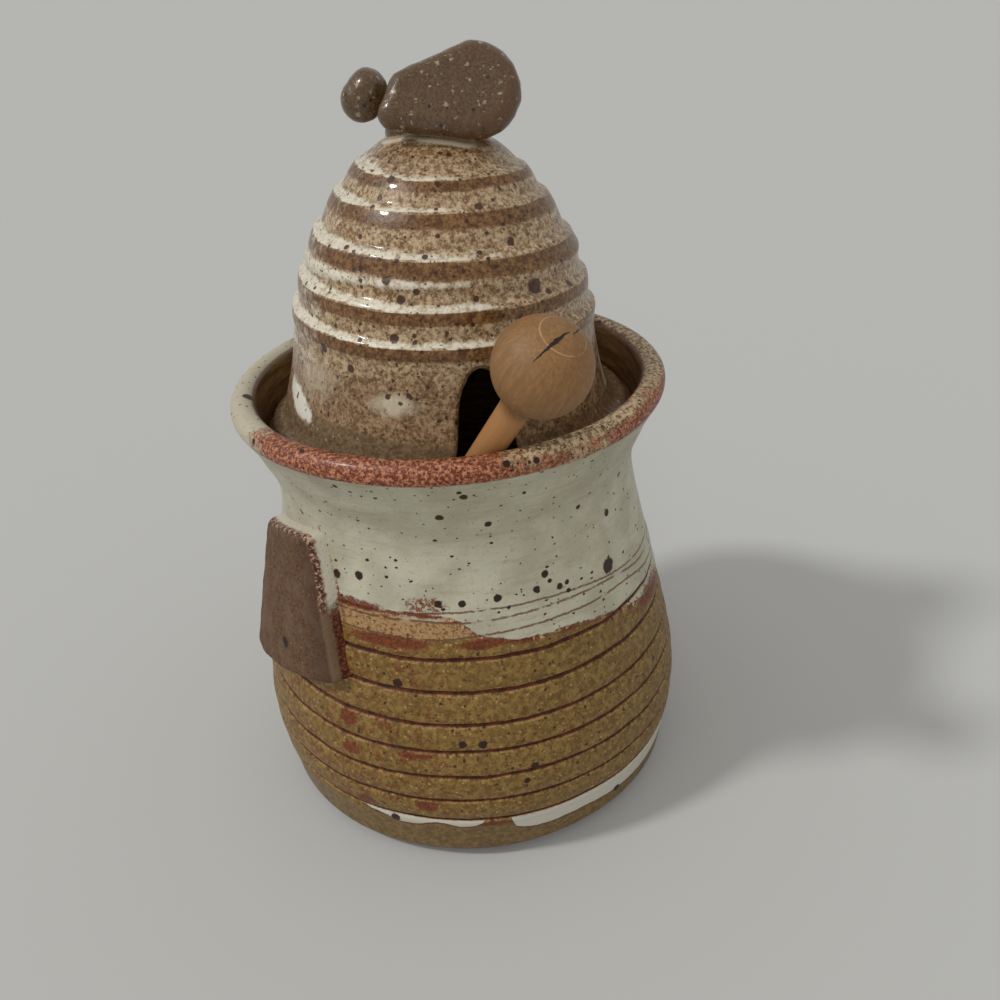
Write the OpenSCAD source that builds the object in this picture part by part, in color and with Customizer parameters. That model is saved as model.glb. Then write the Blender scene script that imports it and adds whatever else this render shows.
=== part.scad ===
// Stoneware honey pot: a thrown pot with a beehive lid, a clay bee on top and a wooden honey dipper.
// Millimetres, +Z up. The origin is the centre of the flat foot, and the dipper's knob looks towards -Y.
// An azimuth is counted from -Y towards +X, seen from above.

/* [Pot] */
// Radius of the foot on the table
foot_r = 52.1; // [48:0.1:54]
// Height of the bevel round the foot
foot_bevel = 4; // [2:0.5:8]
// Radius just above the bevel
heel_r = 55; // [53:0.1:57]
// Radius of the belly at its widest
belly_r = 57.4; // [55:0.1:62]
// Height of the belly at its widest
belly_z = 28; // [22:0.5:36]
// Radius of the shoulder
shoulder_r = 51.4; // [49:0.1:54]
// Height of the shoulder
shoulder_z = 60; // [52:0.5:68]
// Radius of the waist
waist_r = 45.8; // [44:0.1:48]
// Height of the waist
waist_z = 88; // [80:0.5:92]
// Thickness of the thrown wall
wall_t = 5; // [4:0.1:6]
// Thickness of the floor
floor_t = 6; // [4:0.5:9]
// Radius of the curve between floor and wall inside
floor_round = 8; // [3:0.5:9]
// Height of the ledge that carries the lid
ledge_z = 101.8; // [98:0.1:105]
// How far the inside opens from the waist up to the ledge
ledge_flare = 1.6; // [1.3:0.1:2]
// Wall beside the lid's seat, at the ledge
seat_wall = 3.1; // [2:0.1:5]
// Height of the lip above the ledge
lip_rise = 9.4; // [7:0.1:13]
// Radius of the rolled lip's section
lip_bead_r = 3.15; // [2:0.05:4]
// How far the mouth opens from the ledge up to the lip
mouth_flare = 1.4; // [0.5:0.1:3]

/* [Grooves] */
// Number of grooves turned round the lower pot
groove_count = 7; // [0:1:8]
// Height of the lowest groove
groove_z = 14.6; // [8:0.1:17]
// Step from one groove to the next
groove_pitch = 7.8; // [5:0.1:9]
// Width of a groove
groove_w = 1.6; // [0.8:0.1:3]
// Depth of a groove
groove_depth = 0.8; // [0.3:0.1:1.5]

/* [Clay tag] */
// Azimuth of the tag's middle
tag_az = -58.6; // [-80:0.2:-40]
// Height of the tag's middle
tag_z = 67.8; // [60:0.1:76]
// Width of the tag's top edge
tag_top_w = 24; // [16:0.5:34]
// Width of the tag's bottom edge
tag_bottom_w = 42; // [24:0.5:46]
// Height of the tag
tag_h = 37; // [24:0.5:42]
// How far the top edge is shifted right, and the bottom edge left
tag_skew = 3; // [-4:0.5:6]
// Turn of the tag on the wall, in degrees
tag_turn = 12.5; // [-15:0.5:20]
// Thickness of the tag
tag_t = 4.6; // [2:0.1:7]

/* [Lid] */
// How far the flange reaches out beyond the waist's inside
ledge_w = 4; // [3.5:0.1:6]
// Play between the flange and the pot's wall
flange_play = 1.5; // [0.8:0.1:3]
// Gap under the flange, as bare clay sits on bare clay
seat_gap = 0.2; // [0.1:0.05:0.6]
// Thickness of the flange
flange_t = 4; // [3:0.1:6]
// How far the flange stands out from the dome's foot
flange_w = 4; // [2.5:0.1:6]
// Height of the dome above the flange
dome_h = 65.6; // [56:0.5:76]
// Thickness of the dome's wall
dome_wall = 4.4; // [3:0.1:6]
// How far the dome is drawn in at a fifth of its height
dome_in_low = 2.9; // [1:0.1:4]
// How far the dome is drawn in at two fifths of its height
dome_in_mid = 6.1; // [4:0.1:8]
// How far the dome is drawn in at two thirds of its height
dome_in_high = 11.8; // [9:0.1:14]
// How far the dome is drawn in just below its crown
dome_in_brow = 21.4; // [17:0.1:24]
// Lean of the hand-thrown dome towards +X, in degrees
dome_lean = 2.3; // [0:0.1:4]
// How far the dome sits off the middle of its flange
dome_shift = -0.6; // [-1.5:0.1:1.5]

/* [Throwing ridges] */
// Number of ridges round the dome
ridge_count = 6; // [1:1:6]
// Height of the lowest ridge above the flange
ridge_z = 26.4; // [22:0.2:30]
// Step from one ridge to the next
ridge_pitch = 6.4; // [4:0.1:6.8]
// How far a ridge stands out
ridge_h = 0.9; // [0.2:0.1:1.6]

/* [Notch for the dipper] */
// Azimuth of the notch
notch_az = 10; // [0:0.5:20]
// Width of the notch under its arch
notch_w = 12.4; // [11.4:0.2:18]
// Width of the notch through the flange
notch_foot_w = 17.4; // [16.8:0.2:24]
// Height of the arch above the flange
notch_h = 21; // [16:0.5:28]

/* [Bee] */
// Radius of the bee's tail
bee_tail_r = 8.6; // [7:0.1:10]
// Radius of the bee's chest
bee_chest_r = 6.4; // [5:0.1:7]
// Distance from chest to tail
bee_l = 14.5; // [11:0.5:18]
// Radius of the bee's head
bee_head_r = 4.7; // [4:0.1:6.5]
// Distance from chest to head
bee_neck = 11.2; // [9:0.1:12]
// Place of the bee's chest along the dome's crown
bee_x = -4.5; // [-8:0.5:0]
// How deep the bee is pressed into the crown
bee_sink = 1.6; // [1:0.1:3]
// Dip of the bee towards its tail, in degrees
bee_dip = 3; // [-4:0.5:8]
// Thickness of a wing
wing_t = 7; // [4:0.1:8]
// Radius of a wing's broad end
wing_r = 10.2; // [7:0.1:11]
// Slope of a wing, in degrees from upright
wing_slope = 32; // [15:1:45]
// Distance from the chest to the middle of a wing's broad end
wing_l = 12.8; // [9:0.2:15]
// Height of a wing's narrow end
wing_root_h = 9.2; // [8:0.2:12]
// How far the narrow end lies below the broad end's middle
wing_root_drop = 1.8; // [0:0.1:3]
// How far a wing's middle lies out from the bee's spine
wing_out = 6.2; // [5.6:0.1:8]
// Height of the wings above the chest's middle
wing_lift = 3.8; // [1:0.1:5]

/* [Honey dipper] */
// Radius of the round knob
knob_r = 10.3; // [8:0.1:11]
// Distance from the knob's centre to the grooved head's lower centre
dipper_l = 145; // [135:0.5:152]
// Radius of the stick at the head
stick_r = 3.05; // [2.5:0.05:3.3]
// Radius of the stick at the knob
stick_top_r = 3.4; // [2.8:0.05:3.8]
// Radius of the grooved head
head_r = 10; // [8:0.1:11]
// Straight length of the grooved head
head_l = 20; // [14:0.5:24]
// Length of the head's shoulder
head_shoulder = 9; // [5:0.5:12]
// Number of slots cut round the head
slot_count = 6; // [3:1:7]
// Step from one slot to the next
slot_pitch = 4.4; // [3.5:0.1:5]
// Width of a slot
slot_w = 2.2; // [1.5:0.1:3]
// Depth of a slot
slot_depth = 4; // [2:0.1:5.5]
// Azimuth at which the stick leaves the pot
stick_az = 9; // [4:0.5:14]
// Azimuth at which the head leans on the wall
head_az = -98.3; // [-115:0.5:-85]
// Play where the dipper leans on floor, wall and lip
dipper_play = 0.5; // [0.3:0.1:1]

/* [Hidden] */
$fn = 96;
// Segments of a curve between two of its points, sides of a soft lump, and overrun of a cut
curve_steps = 7;
lump_fn = 26;
over = 1;

// The mouth: each radius follows from the waist
inner_waist_r = waist_r - wall_t;
ledge_r = inner_waist_r + ledge_flare;
flange_r = inner_waist_r + ledge_w;
seat_r = flange_r + flange_play;
lip_in_r = seat_r + mouth_flare;
lip_centre_r = lip_in_r + lip_bead_r;
lip_z = ledge_z + lip_rise;

// The lid, and the heights of its outline as shares of the dome's height
flange_z = ledge_z + seat_gap;
dome_z = flange_z + flange_t;
dome_r = flange_r - flange_w;
crown_z = dome_h - bee_sink;
dome_levels = [0, 0.18, 0.42, 0.66, 0.865, 0.985, 1] * dome_h;
crown_flat_r = dome_r * 0.22;

function mix(a, b, t) = a + (b - a) * t;
// One piece of a smooth curve from b to c, with a before it and d after it
function bend(a, b, c, d, t) =
    b + (c - a) * t / 2
    + (a - 2.5 * b + 2 * c - d / 2) * t * t
    + (1.5 * (b - c) + (d - a) / 2) * t * t * t;
// Points along a smooth curve through a list of points
function smooth_curve(p) = [
    for (i = [0:len(p) - 2], j = [0:curve_steps - 1])
        bend(p[max(i - 1, 0)], p[i], p[i + 1], p[min(i + 2, len(p) - 1)], j / curve_steps),
    p[len(p) - 1]
];
function on_circle(centre, r, angle) = centre + r * [cos(angle), sin(angle)];
function arc(centre, r, from, to) = [
    for (i = [0:curve_steps]) on_circle(centre, r, mix(from, to, i / curve_steps))
];
function radius_at(outline, z) = lookup(z, [for (p = outline) [p.y, p.x]]);
function reversed(p) = [for (i = [len(p) - 1:-1:0]) p[i]];
function polar(r, azimuth, z) = [r * sin(azimuth), -r * cos(azimuth), z];

// Outline of the pot's side, from the heel to where it runs into the rolled lip
lip_join_angle = -24;
pot_side = smooth_curve([
    [heel_r, foot_bevel],
    [belly_r, belly_z],
    [shoulder_r, shoulder_z],
    [waist_r, waist_z],
    [seat_r + seat_wall, ledge_z],
    on_circle([lip_centre_r, lip_z], lip_bead_r, lip_join_angle)
]);

// The inside follows the outside one wall away up to the waist, and opens a little from there to the ledge
floor_round_z = floor_t + floor_round;
curve_gap = 0.5;
inner_side = [
    for (p = pot_side) if (p.y > floor_round_z + curve_gap && p.y < waist_z - curve_gap) [p.x - wall_t, p.y]
];
inner_floor_r = radius_at(pot_side, floor_round_z) - wall_t;

// The dipper leans from the floor over the lip, and its line follows from these two points
head_centre_z = floor_t + head_r + dipper_play;
head_centre = polar(radius_at(pot_side, head_centre_z) - wall_t - head_r - dipper_play, head_az, head_centre_z);
stick_lean_room = 1.3;
lip_point = polar(lip_in_r - stick_top_r * stick_lean_room - dipper_play, stick_az, lip_z);
dipper_line = (lip_point - head_centre) / norm(lip_point - head_centre);

module turned(outline) {
    rotate_extrude() polygon(outline);
}

module pot_solid() {
    turned(concat([[0, 0], [foot_r, 0]], pot_side, [[lip_centre_r, lip_z], [0, lip_z]]));
}

module pot_hollow() {
    turned(concat(
        [[0, floor_t]],
        arc([inner_floor_r - floor_round, floor_round_z], floor_round, -90, 0),
        inner_side,
        [[inner_waist_r, waist_z], [ledge_r, ledge_z], [seat_r, ledge_z], [lip_in_r, lip_z]],
        [[lip_in_r, lip_z + over], [0, lip_z + over]]
    ));
}

module groove(z) {
    r = radius_at(pot_side, z);
    turned([
        [r - groove_depth, z],
        [r + groove_depth, z - groove_w],
        [r + groove_depth, z + groove_w]
    ]);
}

module pot() {
    color("darkkhaki") {
        difference() {
            pot_solid();
            pot_hollow();
            for (i = [0:1:groove_count - 1]) groove(groove_z + i * groove_pitch);
        }
        rotate_extrude() translate([lip_centre_r, lip_z]) circle(lip_bead_r);
    }
}

module clay_tag() {
    top = tag_h / 2;
    outline = [
        [-tag_bottom_w / 2 - tag_skew, -top],
        [tag_bottom_w / 2 - tag_skew, -top],
        [tag_top_w / 2 + tag_skew, top],
        [-tag_top_w / 2 + tag_skew, top]
    ];
    color("sienna") intersection() {
        turned(concat(pot_side, reversed([for (p = pot_side) [p.x + tag_t, p.y]])));
        rotate([0, 0, tag_az]) translate([0, 0, tag_z]) rotate([90, -tag_turn, 0])
            linear_extrude(belly_r + tag_t + over) polygon(outline);
    }
}

// Places what belongs to the dome: it leans a little on its flat flange
module on_dome() {
    translate([dome_shift, 0, dome_z]) rotate([0, dome_lean, 0]) children();
}

// Sharp crests with round hollows between them
function ridge(z) =
    (z < ridge_z - ridge_pitch / 2 || z > ridge_z + (ridge_count - 0.5) * ridge_pitch) ? 0
    : ridge_h * (1 - abs(sin(180 * (z - ridge_z) / ridge_pitch)));

dome_outline = smooth_curve([
    [dome_r, dome_levels[0]],
    [dome_r - dome_in_low, dome_levels[1]],
    [dome_r - dome_in_mid, dome_levels[2]],
    [dome_r - dome_in_high, dome_levels[3]],
    [dome_r - dome_in_brow, dome_levels[4]],
    [crown_flat_r, dome_levels[5]],
    [0, dome_levels[6]]
]);
ridge_steps = 6;
ridge_step = ridge_pitch / ridge_steps;
skin_steps = floor(dome_h / ridge_step) - ridge_steps;

// The outside of the dome reaches half way into the flange
module dome_solid() {
    skin = [
        for (i = [1:skin_steps])
            [radius_at(dome_outline, i * ridge_step) + ridge(i * ridge_step), i * ridge_step]
    ];
    crown = [for (p = dome_outline) if (p.y > skin_steps * ridge_step + curve_gap) p];
    turned(concat([[0, -flange_t / 2], [dome_r, -flange_t / 2], [dome_r, 0]], skin, crown));
}

module dome_hollow() {
    across = (dome_r - dome_wall) / dome_r;
    up = (dome_h - dome_wall) / dome_h;
    inside = [for (p = dome_outline) [p.x * across, p.y * up]];
    turned(concat([[0, -flange_t - over], [dome_r * across, -flange_t - over]], inside));
}

module flange() {
    edge = flange_t / 4;
    translate([0, 0, flange_z]) turned([
        [0, 0],
        [flange_r - edge, 0],
        [flange_r, edge],
        [flange_r, flange_t - edge],
        [flange_r - edge, flange_t],
        [0, flange_t]
    ]);
}

// The notch narrows upwards from a wide foot through the flange
module notch() {
    arch_z = notch_h - notch_w / 2;
    foot = notch_foot_w / 2;
    side = mix(notch_foot_w, notch_w, 0.7) / 2;
    rotate([0, 0, notch_az]) translate([0, 0, dome_z]) rotate([90, 0, 0]) linear_extrude(flange_r + over) {
        polygon([
            [-foot, -flange_t - over],
            [foot, -flange_t - over],
            [foot, -flange_t / 2],
            [side, flange_t],
            [notch_w / 2, arch_z],
            [-notch_w / 2, arch_z],
            [-side, flange_t],
            [-foot, -flange_t / 2]
        ]);
        translate([0, arch_z]) circle(notch_w / 2);
    }
}

module lid() {
    color("rosybrown") difference() {
        union() {
            flange();
            on_dome() dome_solid();
        }
        on_dome() dome_hollow();
        notch();
    }
}

// The egg of the bee's head: its height above the chest's middle, its lean and its rise
head_lift = bee_head_r * 0.1;
head_lean = bee_head_r * 0.25;
head_rise = bee_head_r * 0.4;

// The bee's own place: its chest is the origin and its tail points along +X
module on_crown() {
    on_dome() translate([bee_x, 0, crown_z + bee_chest_r]) rotate([0, bee_dip, 0]) children();
}

module body_lump() {
    on_crown() hull() {
        sphere(bee_chest_r, $fn = lump_fn);
        translate([bee_l, 0, bee_tail_r - bee_chest_r]) sphere(bee_tail_r, $fn = lump_fn);
    }
}

// A flat drop of clay, from the neck to the broad end; side is -1 for the bee's left and 1 for its right
module wing_lump(side) {
    edge_r = wing_t / 2;
    on_crown() translate([0, side * wing_out, wing_lift]) rotate([side * wing_slope, 0, 0]) hull() {
        for (up = [-1, 1]) translate([-edge_r / 2, 0, up * (wing_root_h / 2 - edge_r) - wing_root_drop])
            sphere(edge_r, $fn = lump_fn);
        for (turn = [-90:30:90]) translate([wing_l, 0, 0])
            rotate([0, turn, 0]) translate([wing_r - edge_r, 0, 0]) sphere(edge_r, $fn = lump_fn);
    }
}

// The head is an egg that leans back towards the wings
module head_lump() {
    on_crown() translate([-bee_neck, 0, head_lift]) hull() {
        sphere(bee_head_r, $fn = lump_fn);
        translate([head_lean, 0, head_rise]) sphere(bee_head_r, $fn = lump_fn);
    }
}

module bee_body() {
    color("saddlebrown") difference() {
        body_lump();
        on_dome() dome_solid();
    }
}

module bee_left_wing() {
    color("peru") difference() {
        wing_lump(-1);
        body_lump();
        on_dome() dome_solid();
    }
}

module bee_right_wing() {
    color("chocolate") difference() {
        wing_lump(1);
        wing_lump(-1);
        body_lump();
        on_dome() dome_solid();
    }
}

module bee_head() {
    color("sienna") difference() {
        head_lump();
        body_lump();
        wing_lump(-1);
        wing_lump(1);
    }
}

// Places the dipper: its lower head centre is the origin and its knob lies along +Z
module along_dipper() {
    translate(head_centre)
        rotate([0, acos(dipper_line.z), atan2(dipper_line.y, dipper_line.x)]) children();
}

// Round below, with slots along its straight length, and drawn in by a smooth shoulder to the stick
module grooved_head() {
    first_slot = (head_l - slot_count * slot_pitch) / 2;
    difference() {
        turned(concat(
            arc([0, 0], head_r, -90, 0),
            [
                for (i = [0:curve_steps])
                    [mix(stick_r, head_r, cos(90 * i / curve_steps)), head_l + head_shoulder * i / curve_steps]
            ],
            [[0, head_l + head_shoulder]]
        ));
        for (i = [0:slot_count - 1]) translate([0, 0, first_slot + i * slot_pitch]) difference() {
            cylinder(h = slot_w, r = head_r + over);
            translate([0, 0, -over]) cylinder(h = slot_w + 2 * over, r = head_r - slot_depth);
        }
    }
}

// The stick widens to a short neck where it runs into the knob
module dipper() {
    neck_l = stick_top_r * 1.5;
    neck_r = stick_top_r * 1.8;
    color("burlywood") along_dipper() {
        grooved_head();
        translate([0, 0, head_l]) cylinder(h = dipper_l - head_l, r1 = stick_r, r2 = stick_top_r);
        translate([0, 0, dipper_l - knob_r - neck_l / 3]) cylinder(h = neck_l, r1 = stick_top_r, r2 = neck_r);
        translate([0, 0, dipper_l]) sphere(knob_r);
    }
}

pot();
clay_tag();
lid();
bee_body();
bee_left_wing();
bee_right_wing();
bee_head();
dipper();
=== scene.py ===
# %% [markdown]
# # A thrown honey pot with a beehive lid
#
# A potter throws this pot on the wheel, cuts one spiral groove round its belly, throws the lid as a beehive,
# presses a bee on top of it and leans a turned wooden dipper out of a notch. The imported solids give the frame:
# every piece below is made in that frame, in metres, and rides on one of its bodies.

import math

import bmesh
import bpy
import numpy as np
from mathutils import Matrix, Vector, noise
from mathutils.kdtree import KDTree


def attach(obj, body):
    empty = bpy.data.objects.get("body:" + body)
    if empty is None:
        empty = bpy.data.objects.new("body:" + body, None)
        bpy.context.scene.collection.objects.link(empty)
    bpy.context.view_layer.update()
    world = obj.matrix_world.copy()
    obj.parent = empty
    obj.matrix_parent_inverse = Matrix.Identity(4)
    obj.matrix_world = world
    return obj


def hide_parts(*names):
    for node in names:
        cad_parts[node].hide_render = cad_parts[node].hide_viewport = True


MM = 0.001
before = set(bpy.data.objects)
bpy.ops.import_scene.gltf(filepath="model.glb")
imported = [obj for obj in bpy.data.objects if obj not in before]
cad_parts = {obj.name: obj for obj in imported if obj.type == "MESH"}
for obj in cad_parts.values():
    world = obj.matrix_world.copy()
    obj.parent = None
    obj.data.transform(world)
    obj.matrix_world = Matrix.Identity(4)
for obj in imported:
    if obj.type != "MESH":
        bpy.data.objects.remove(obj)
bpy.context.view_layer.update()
scene = bpy.context.scene

# %% [markdown]
# The picture was taken from above and a little to the left, quite close, so near parts look larger than far
# ones. A camera can be placed by angles, but three measured directions are exact, so they are written into its
# matrix: to the right, up, and into the picture.

# %% Camera
camera = bpy.data.objects.new("camera", bpy.data.cameras.new("camera"))
scene.collection.objects.link(camera)
camera.data.lens = 36
camera.data.sensor_width = 36
camera.data.clip_start = 0.01
to_right = Vector((0.99519, -0.07900, -0.05793))
to_up = Vector((0.08943, 0.49131, 0.86638))
into = Vector((0.03998, 0.86740, -0.49601))
camera.matrix_world = Matrix((to_right, to_up, -into)).transposed().to_4x4()
camera.location = (0, -0.23505, 0.20900)
scene.camera = camera
scene.view_settings.view_transform = "Standard"
print("the camera looks down by", round(math.degrees(math.asin(-into.z)), 1), "degrees")


# %% [markdown]
# Glaze shows its gloss by small sharp highlights, and the shadow falls to the right, so the main light is small,
# high and on the left. A weaker one fills from the front, and a pale world lights the rest at a plain level. Both
# lamps are suns: they light the floor evenly, and their angle sets how soft the shadow's edge is. The world looks
# a little darker than it lights, as the wall behind the table does in the photo.

# %% Lamps and world
def lamp(name, direction, strength, soft, mirrored=True):
    """A sun that shines from a direction; soft is its width in degrees. A soft one isn't mirrored in the glaze."""
    light = bpy.data.lights.new(name, "SUN")
    light.energy = strength
    light.angle = math.radians(soft)
    holder = bpy.data.objects.new(name, light)
    scene.collection.objects.link(holder)
    holder.visible_glossy = mirrored
    holder.rotation_euler = Vector(direction).to_track_quat("Z", "Y").to_euler()
    print(name, "stands", round(math.degrees(math.asin(Vector(direction).normalized().z))), "degrees high")


lamp("window", (-0.64, -0.16, 0.75), 1.35, 7)
lamp("front fill", (-0.05, -0.85, 0.52), 0.72, 30, mirrored=False)
world = bpy.data.worlds.new("room")
scene.world = world
world.use_nodes = True
sky, join = world.node_tree.nodes, world.node_tree.links.new
shown, is_seen, path = sky.new("ShaderNodeMix"), sky.new("ShaderNodeMath"), sky.new("ShaderNodeLightPath")
shown.data_type, is_seen.operation = "RGBA", "MAXIMUM"
light_colour, seen_colour = (1.0, 0.99, 0.97, 1), (0.88, 0.88, 0.84, 1)
shown.inputs[6].default_value, shown.inputs[7].default_value = light_colour, seen_colour
join(path.outputs["Is Camera Ray"], is_seen.inputs[0])
join(path.outputs["Is Glossy Ray"], is_seen.inputs[1])
join(is_seen.outputs[0], shown.inputs[0])
join(shown.outputs[2], sky["Background"].inputs["Color"])
sky["Background"].inputs["Strength"].default_value = 0.54


# %% [markdown]
# Shapes and finishes are both trees of nodes. These helpers write such a tree line by line. A value is what a
# node puts out, and it is calculated with like a number: each sign adds one node. `put` links a socket or sets
# it, `read` adds a node and gives its value, and `rise` goes smoothly from 0 to 1 between two bounds.

# %% Tree helper
class Value:
    """What a node puts out."""

    def __init__(self, tree, socket):
        self.tree, self.socket = tree, socket

    def __add__(self, other):
        return self.tree.math("ADD", self, other)

    def __sub__(self, other):
        return self.tree.math("SUBTRACT", self, other)

    def __rsub__(self, other):
        return self.tree.math("SUBTRACT", other, self)

    def __mul__(self, other):
        return self.tree.math("MULTIPLY", self, other)

    def __truediv__(self, other):
        return self.tree.math("DIVIDE", self, other)

    def __pow__(self, other):
        return self.tree.math("POWER", self, other)

    def __abs__(self):
        return self.tree.math("ABSOLUTE", self)


class Tree:
    def __init__(self, owner):
        self.owner, self.nodes, self.links = owner, owner.nodes, owner.links

    def put(self, socket, value):
        if isinstance(value, Value):
            self.links.new(value.socket, socket)
        elif socket.type == "RGBA" and len(value) == 3:
            socket.default_value = (*value, 1)
        else:
            socket.default_value = value

    def add(self, kind, sockets=None, **settings):
        node = self.nodes.new(kind)
        for name, value in settings.items():
            setattr(node, name, value)
        for name, value in (sockets or {}).items():
            self.put(node.inputs[name], value)
        return node

    def read(self, kind, sockets=None, output=0, **settings):
        return Value(self, self.add(kind, sockets, **settings).outputs[output])

    def math(self, operation, *values):
        return self.read("ShaderNodeMath", dict(enumerate(values)), operation=operation)

    def vector(self, operation, *values, **scale):
        output = 1 if operation in ("LENGTH", "DISTANCE", "DOT_PRODUCT") else 0
        return self.read("ShaderNodeVectorMath", {**dict(enumerate(values)), **scale}, output, operation=operation)

    def split(self, value):
        return [Value(self, socket) for socket in self.add("ShaderNodeSeparateXYZ", {0: value}).outputs]

    def bring(self, x, y, z):
        return self.read("ShaderNodeCombineXYZ", {0: x, 1: y, 2: z})


def rise(value, low, high, start=0.0, end=1.0):
    """start below low, end above high, and smooth between them."""
    sockets = {"Value": value, "From Min": low, "From Max": high, "To Min": start, "To Max": end}
    return value.tree.read("ShaderNodeMapRange", sockets, interpolation_type="SMOOTHSTEP")


def highest(*values):
    """The largest of the values at each place."""
    out = values[0]
    for value in values[1:]:
        out = value.tree.math("MAXIMUM", out, value)
    return out


def new_form(name, sizes):
    """An empty Geometry Nodes tree with a geometry input and one named input for each size."""
    group = bpy.data.node_groups.new(name, "GeometryNodeTree")
    group.interface.new_socket("Geometry", in_out="INPUT", socket_type="NodeSocketGeometry")
    for label, value in sizes.items():
        kind = "NodeSocketInt" if isinstance(value, int) else "NodeSocketFloat"
        group.interface.new_socket(label, in_out="INPUT", socket_type=kind)
    group.interface.new_socket("Geometry", in_out="OUTPUT", socket_type="NodeSocketGeometry")
    tree = Tree(group)
    tree.given = {socket.name: Value(tree, socket) for socket in tree.add("NodeGroupInput").outputs}
    tree.result = tree.add("NodeGroupOutput").inputs
    return tree


materials = {
    name: bpy.data.materials.new(name)
    for name in ("pot_glaze", "lid_glaze", "bee_glaze", "bare_clay", "dipper_wood")
}
print("finishes to make:", ", ".join(materials))

# %% [markdown]
# Everything thrown or turned starts as an outline: half a section of the wall, from the axis out, over the lip
# and back to the axis. The outline is a mesh of loose edges whose points carry values of their own, such as
# which turn of the potter's hands they belong to. The points lie close where there is detail, and far apart in
# the dark inside.


# %% Outlines
def smooth_line(points, spacing):
    """Points about spacing apart along a smooth curve through the given points."""
    p = np.array([points[0], *points, points[-1]], float)
    line = []
    for a, b, c, d in zip(p, p[1:], p[2:], p[3:]):
        t = np.linspace(0, 1, 40, endpoint=False)[:, None]
        line.append(b + (c - a) * t / 2 + (a - 2.5 * b + 2 * c - d / 2) * t**2 + (1.5 * (b - c) + (d - a) / 2) * t**3)
    return evenly(np.vstack([*line, p[-1:]]), spacing)


def evenly(line, spacing):
    """The same line with its points a fixed distance apart."""
    line = np.array(line, float)
    run = np.concatenate([[0], np.cumsum(np.linalg.norm(np.diff(line, axis=0), axis=1))])
    at = np.linspace(0, run[-1], max(2, int(round(run[-1] / spacing)) + 1))
    return np.stack([np.interp(at, run, line[:, 0]), np.interp(at, run, line[:, 1])], 1)


def bow(centre, radius, start, end, spacing=0.6):
    """An arc of a circle from one angle to another, in degrees."""
    turn = np.radians(np.linspace(start, end, max(3, int(abs(math.radians(end - start)) * radius / spacing))))
    return np.stack([centre[0] + radius * np.cos(turn), centre[1] + radius * np.sin(turn)], 1)


def keep_number(mesh, label, numbers):
    """Stores one number on every point of a mesh."""
    mesh.attributes.new(label, "FLOAT", "POINT").data.foreach_set("value", np.asarray(numbers, np.float32))


def outline_mesh(name, points, **values):
    """A mesh of loose edges through (radius, height) points in millimetres; values are one number a point."""
    points = np.array(points, float)
    mesh = bpy.data.meshes.new(name)
    steps = [(i, i + 1) for i in range(len(points) - 1)]
    mesh.from_pydata([(r * MM, 0, z * MM) for r, z in points], steps, [])
    for label, numbers in values.items():
        keep_number(mesh, label, numbers)
    return mesh


# %% [markdown]
# A wheel turns an outline into a pot, and Spin or Screw could do the same. Here Geometry Nodes do it, because
# the marks of the hand follow the turning: a grid gets one row for each point of the outline and one column for
# each side, every grid point looks its outline point up by its row, and the tree then moves it by the rule of
# that form. The seam and the poles are welded at the end.

# %% Turning an outline round the axis
FRONT = 1.5 * math.pi


def turn_outline(tree):
    """Adds the grid. Returns it with the angle, the radius, the height and a look-up for the point values."""
    outline = tree.given["Geometry"]
    rows = tree.read("GeometryNodeAttributeDomainSize", {0: outline}, output="Point Count")
    columns = tree.given["Sides"] + 1.0
    size = {"Size X": 1.0, "Size Y": 1.0, "Vertices X": columns, "Vertices Y": rows}
    grid = tree.read("GeometryNodeMeshGrid", size, output="Mesh")
    index = tree.read("GeometryNodeInputIndex") + 0.25
    column = tree.math("FLOOR", index / rows)
    row = index - column * rows
    angle = column / tree.given["Sides"] * math.tau

    def look_up(value, kind):
        return tree.read("GeometryNodeSampleIndex", {"Geometry": outline, "Value": value, "Index": row},
                         data_type=kind)

    def point_value(label):
        return look_up(tree.read("GeometryNodeInputNamedAttribute", {"Name": label}, data_type="FLOAT"), "FLOAT")

    radius, _, height = tree.split(look_up(tree.read("GeometryNodeInputPosition"), "FLOAT_VECTOR"))
    return grid, angle, radius, height, point_value


def on_wheel(tree, angle, radius, height):
    """The point at that angle, radius and height."""
    x = radius * tree.math("COSINE", angle)
    y = radius * tree.math("SINE", angle)
    return tree.bring(x, y, height)


def unevenness(tree, place, size):
    """A soft swell of the wall between -1 and 1; size is its width in metres."""
    scale = tree.math("DIVIDE", 1.0, size)
    return (tree.read("ShaderNodeTexNoise", {"Vector": place, "Scale": scale, "Detail": 1.0}) - 0.5) * 2.0


def keep_value(tree, geometry, label, value):
    """Stores a value on every point, for the finish to read."""
    node = tree.add("GeometryNodeStoreNamedAttribute", {"Geometry": geometry, "Name": label}, data_type="FLOAT")
    tree.put(node.inputs["Value"], value)
    return Value(tree, node.outputs[0])


def close_form(tree, geometry, place, material):
    """Puts every point in its place, welds seam and poles, and gives the form its material."""
    placed = tree.read("GeometryNodeSetPosition", {"Geometry": geometry, "Position": place})
    welded = tree.read("GeometryNodeMergeByDistance", {"Geometry": placed, "Distance": 1e-6})
    smooth = tree.read("GeometryNodeSetShadeSmooth", {"Geometry": welded})
    real = tree.read("GeometryNodeRealizeInstances", {"Geometry": smooth})
    done = tree.read("GeometryNodeSetMaterial", {"Geometry": real, "Material": material})
    tree.put(tree.result[0], done)


def volume_of(mesh):
    """The volume in cubic millimetres; below zero, the faces point inwards."""
    shape = bmesh.new()
    shape.from_mesh(mesh)
    volume = shape.calc_volume(signed=True) / MM**3
    shape.free()
    return volume


def face_outwards(mesh):
    if volume_of(mesh) < 0:
        mesh.flip_normals()


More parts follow.
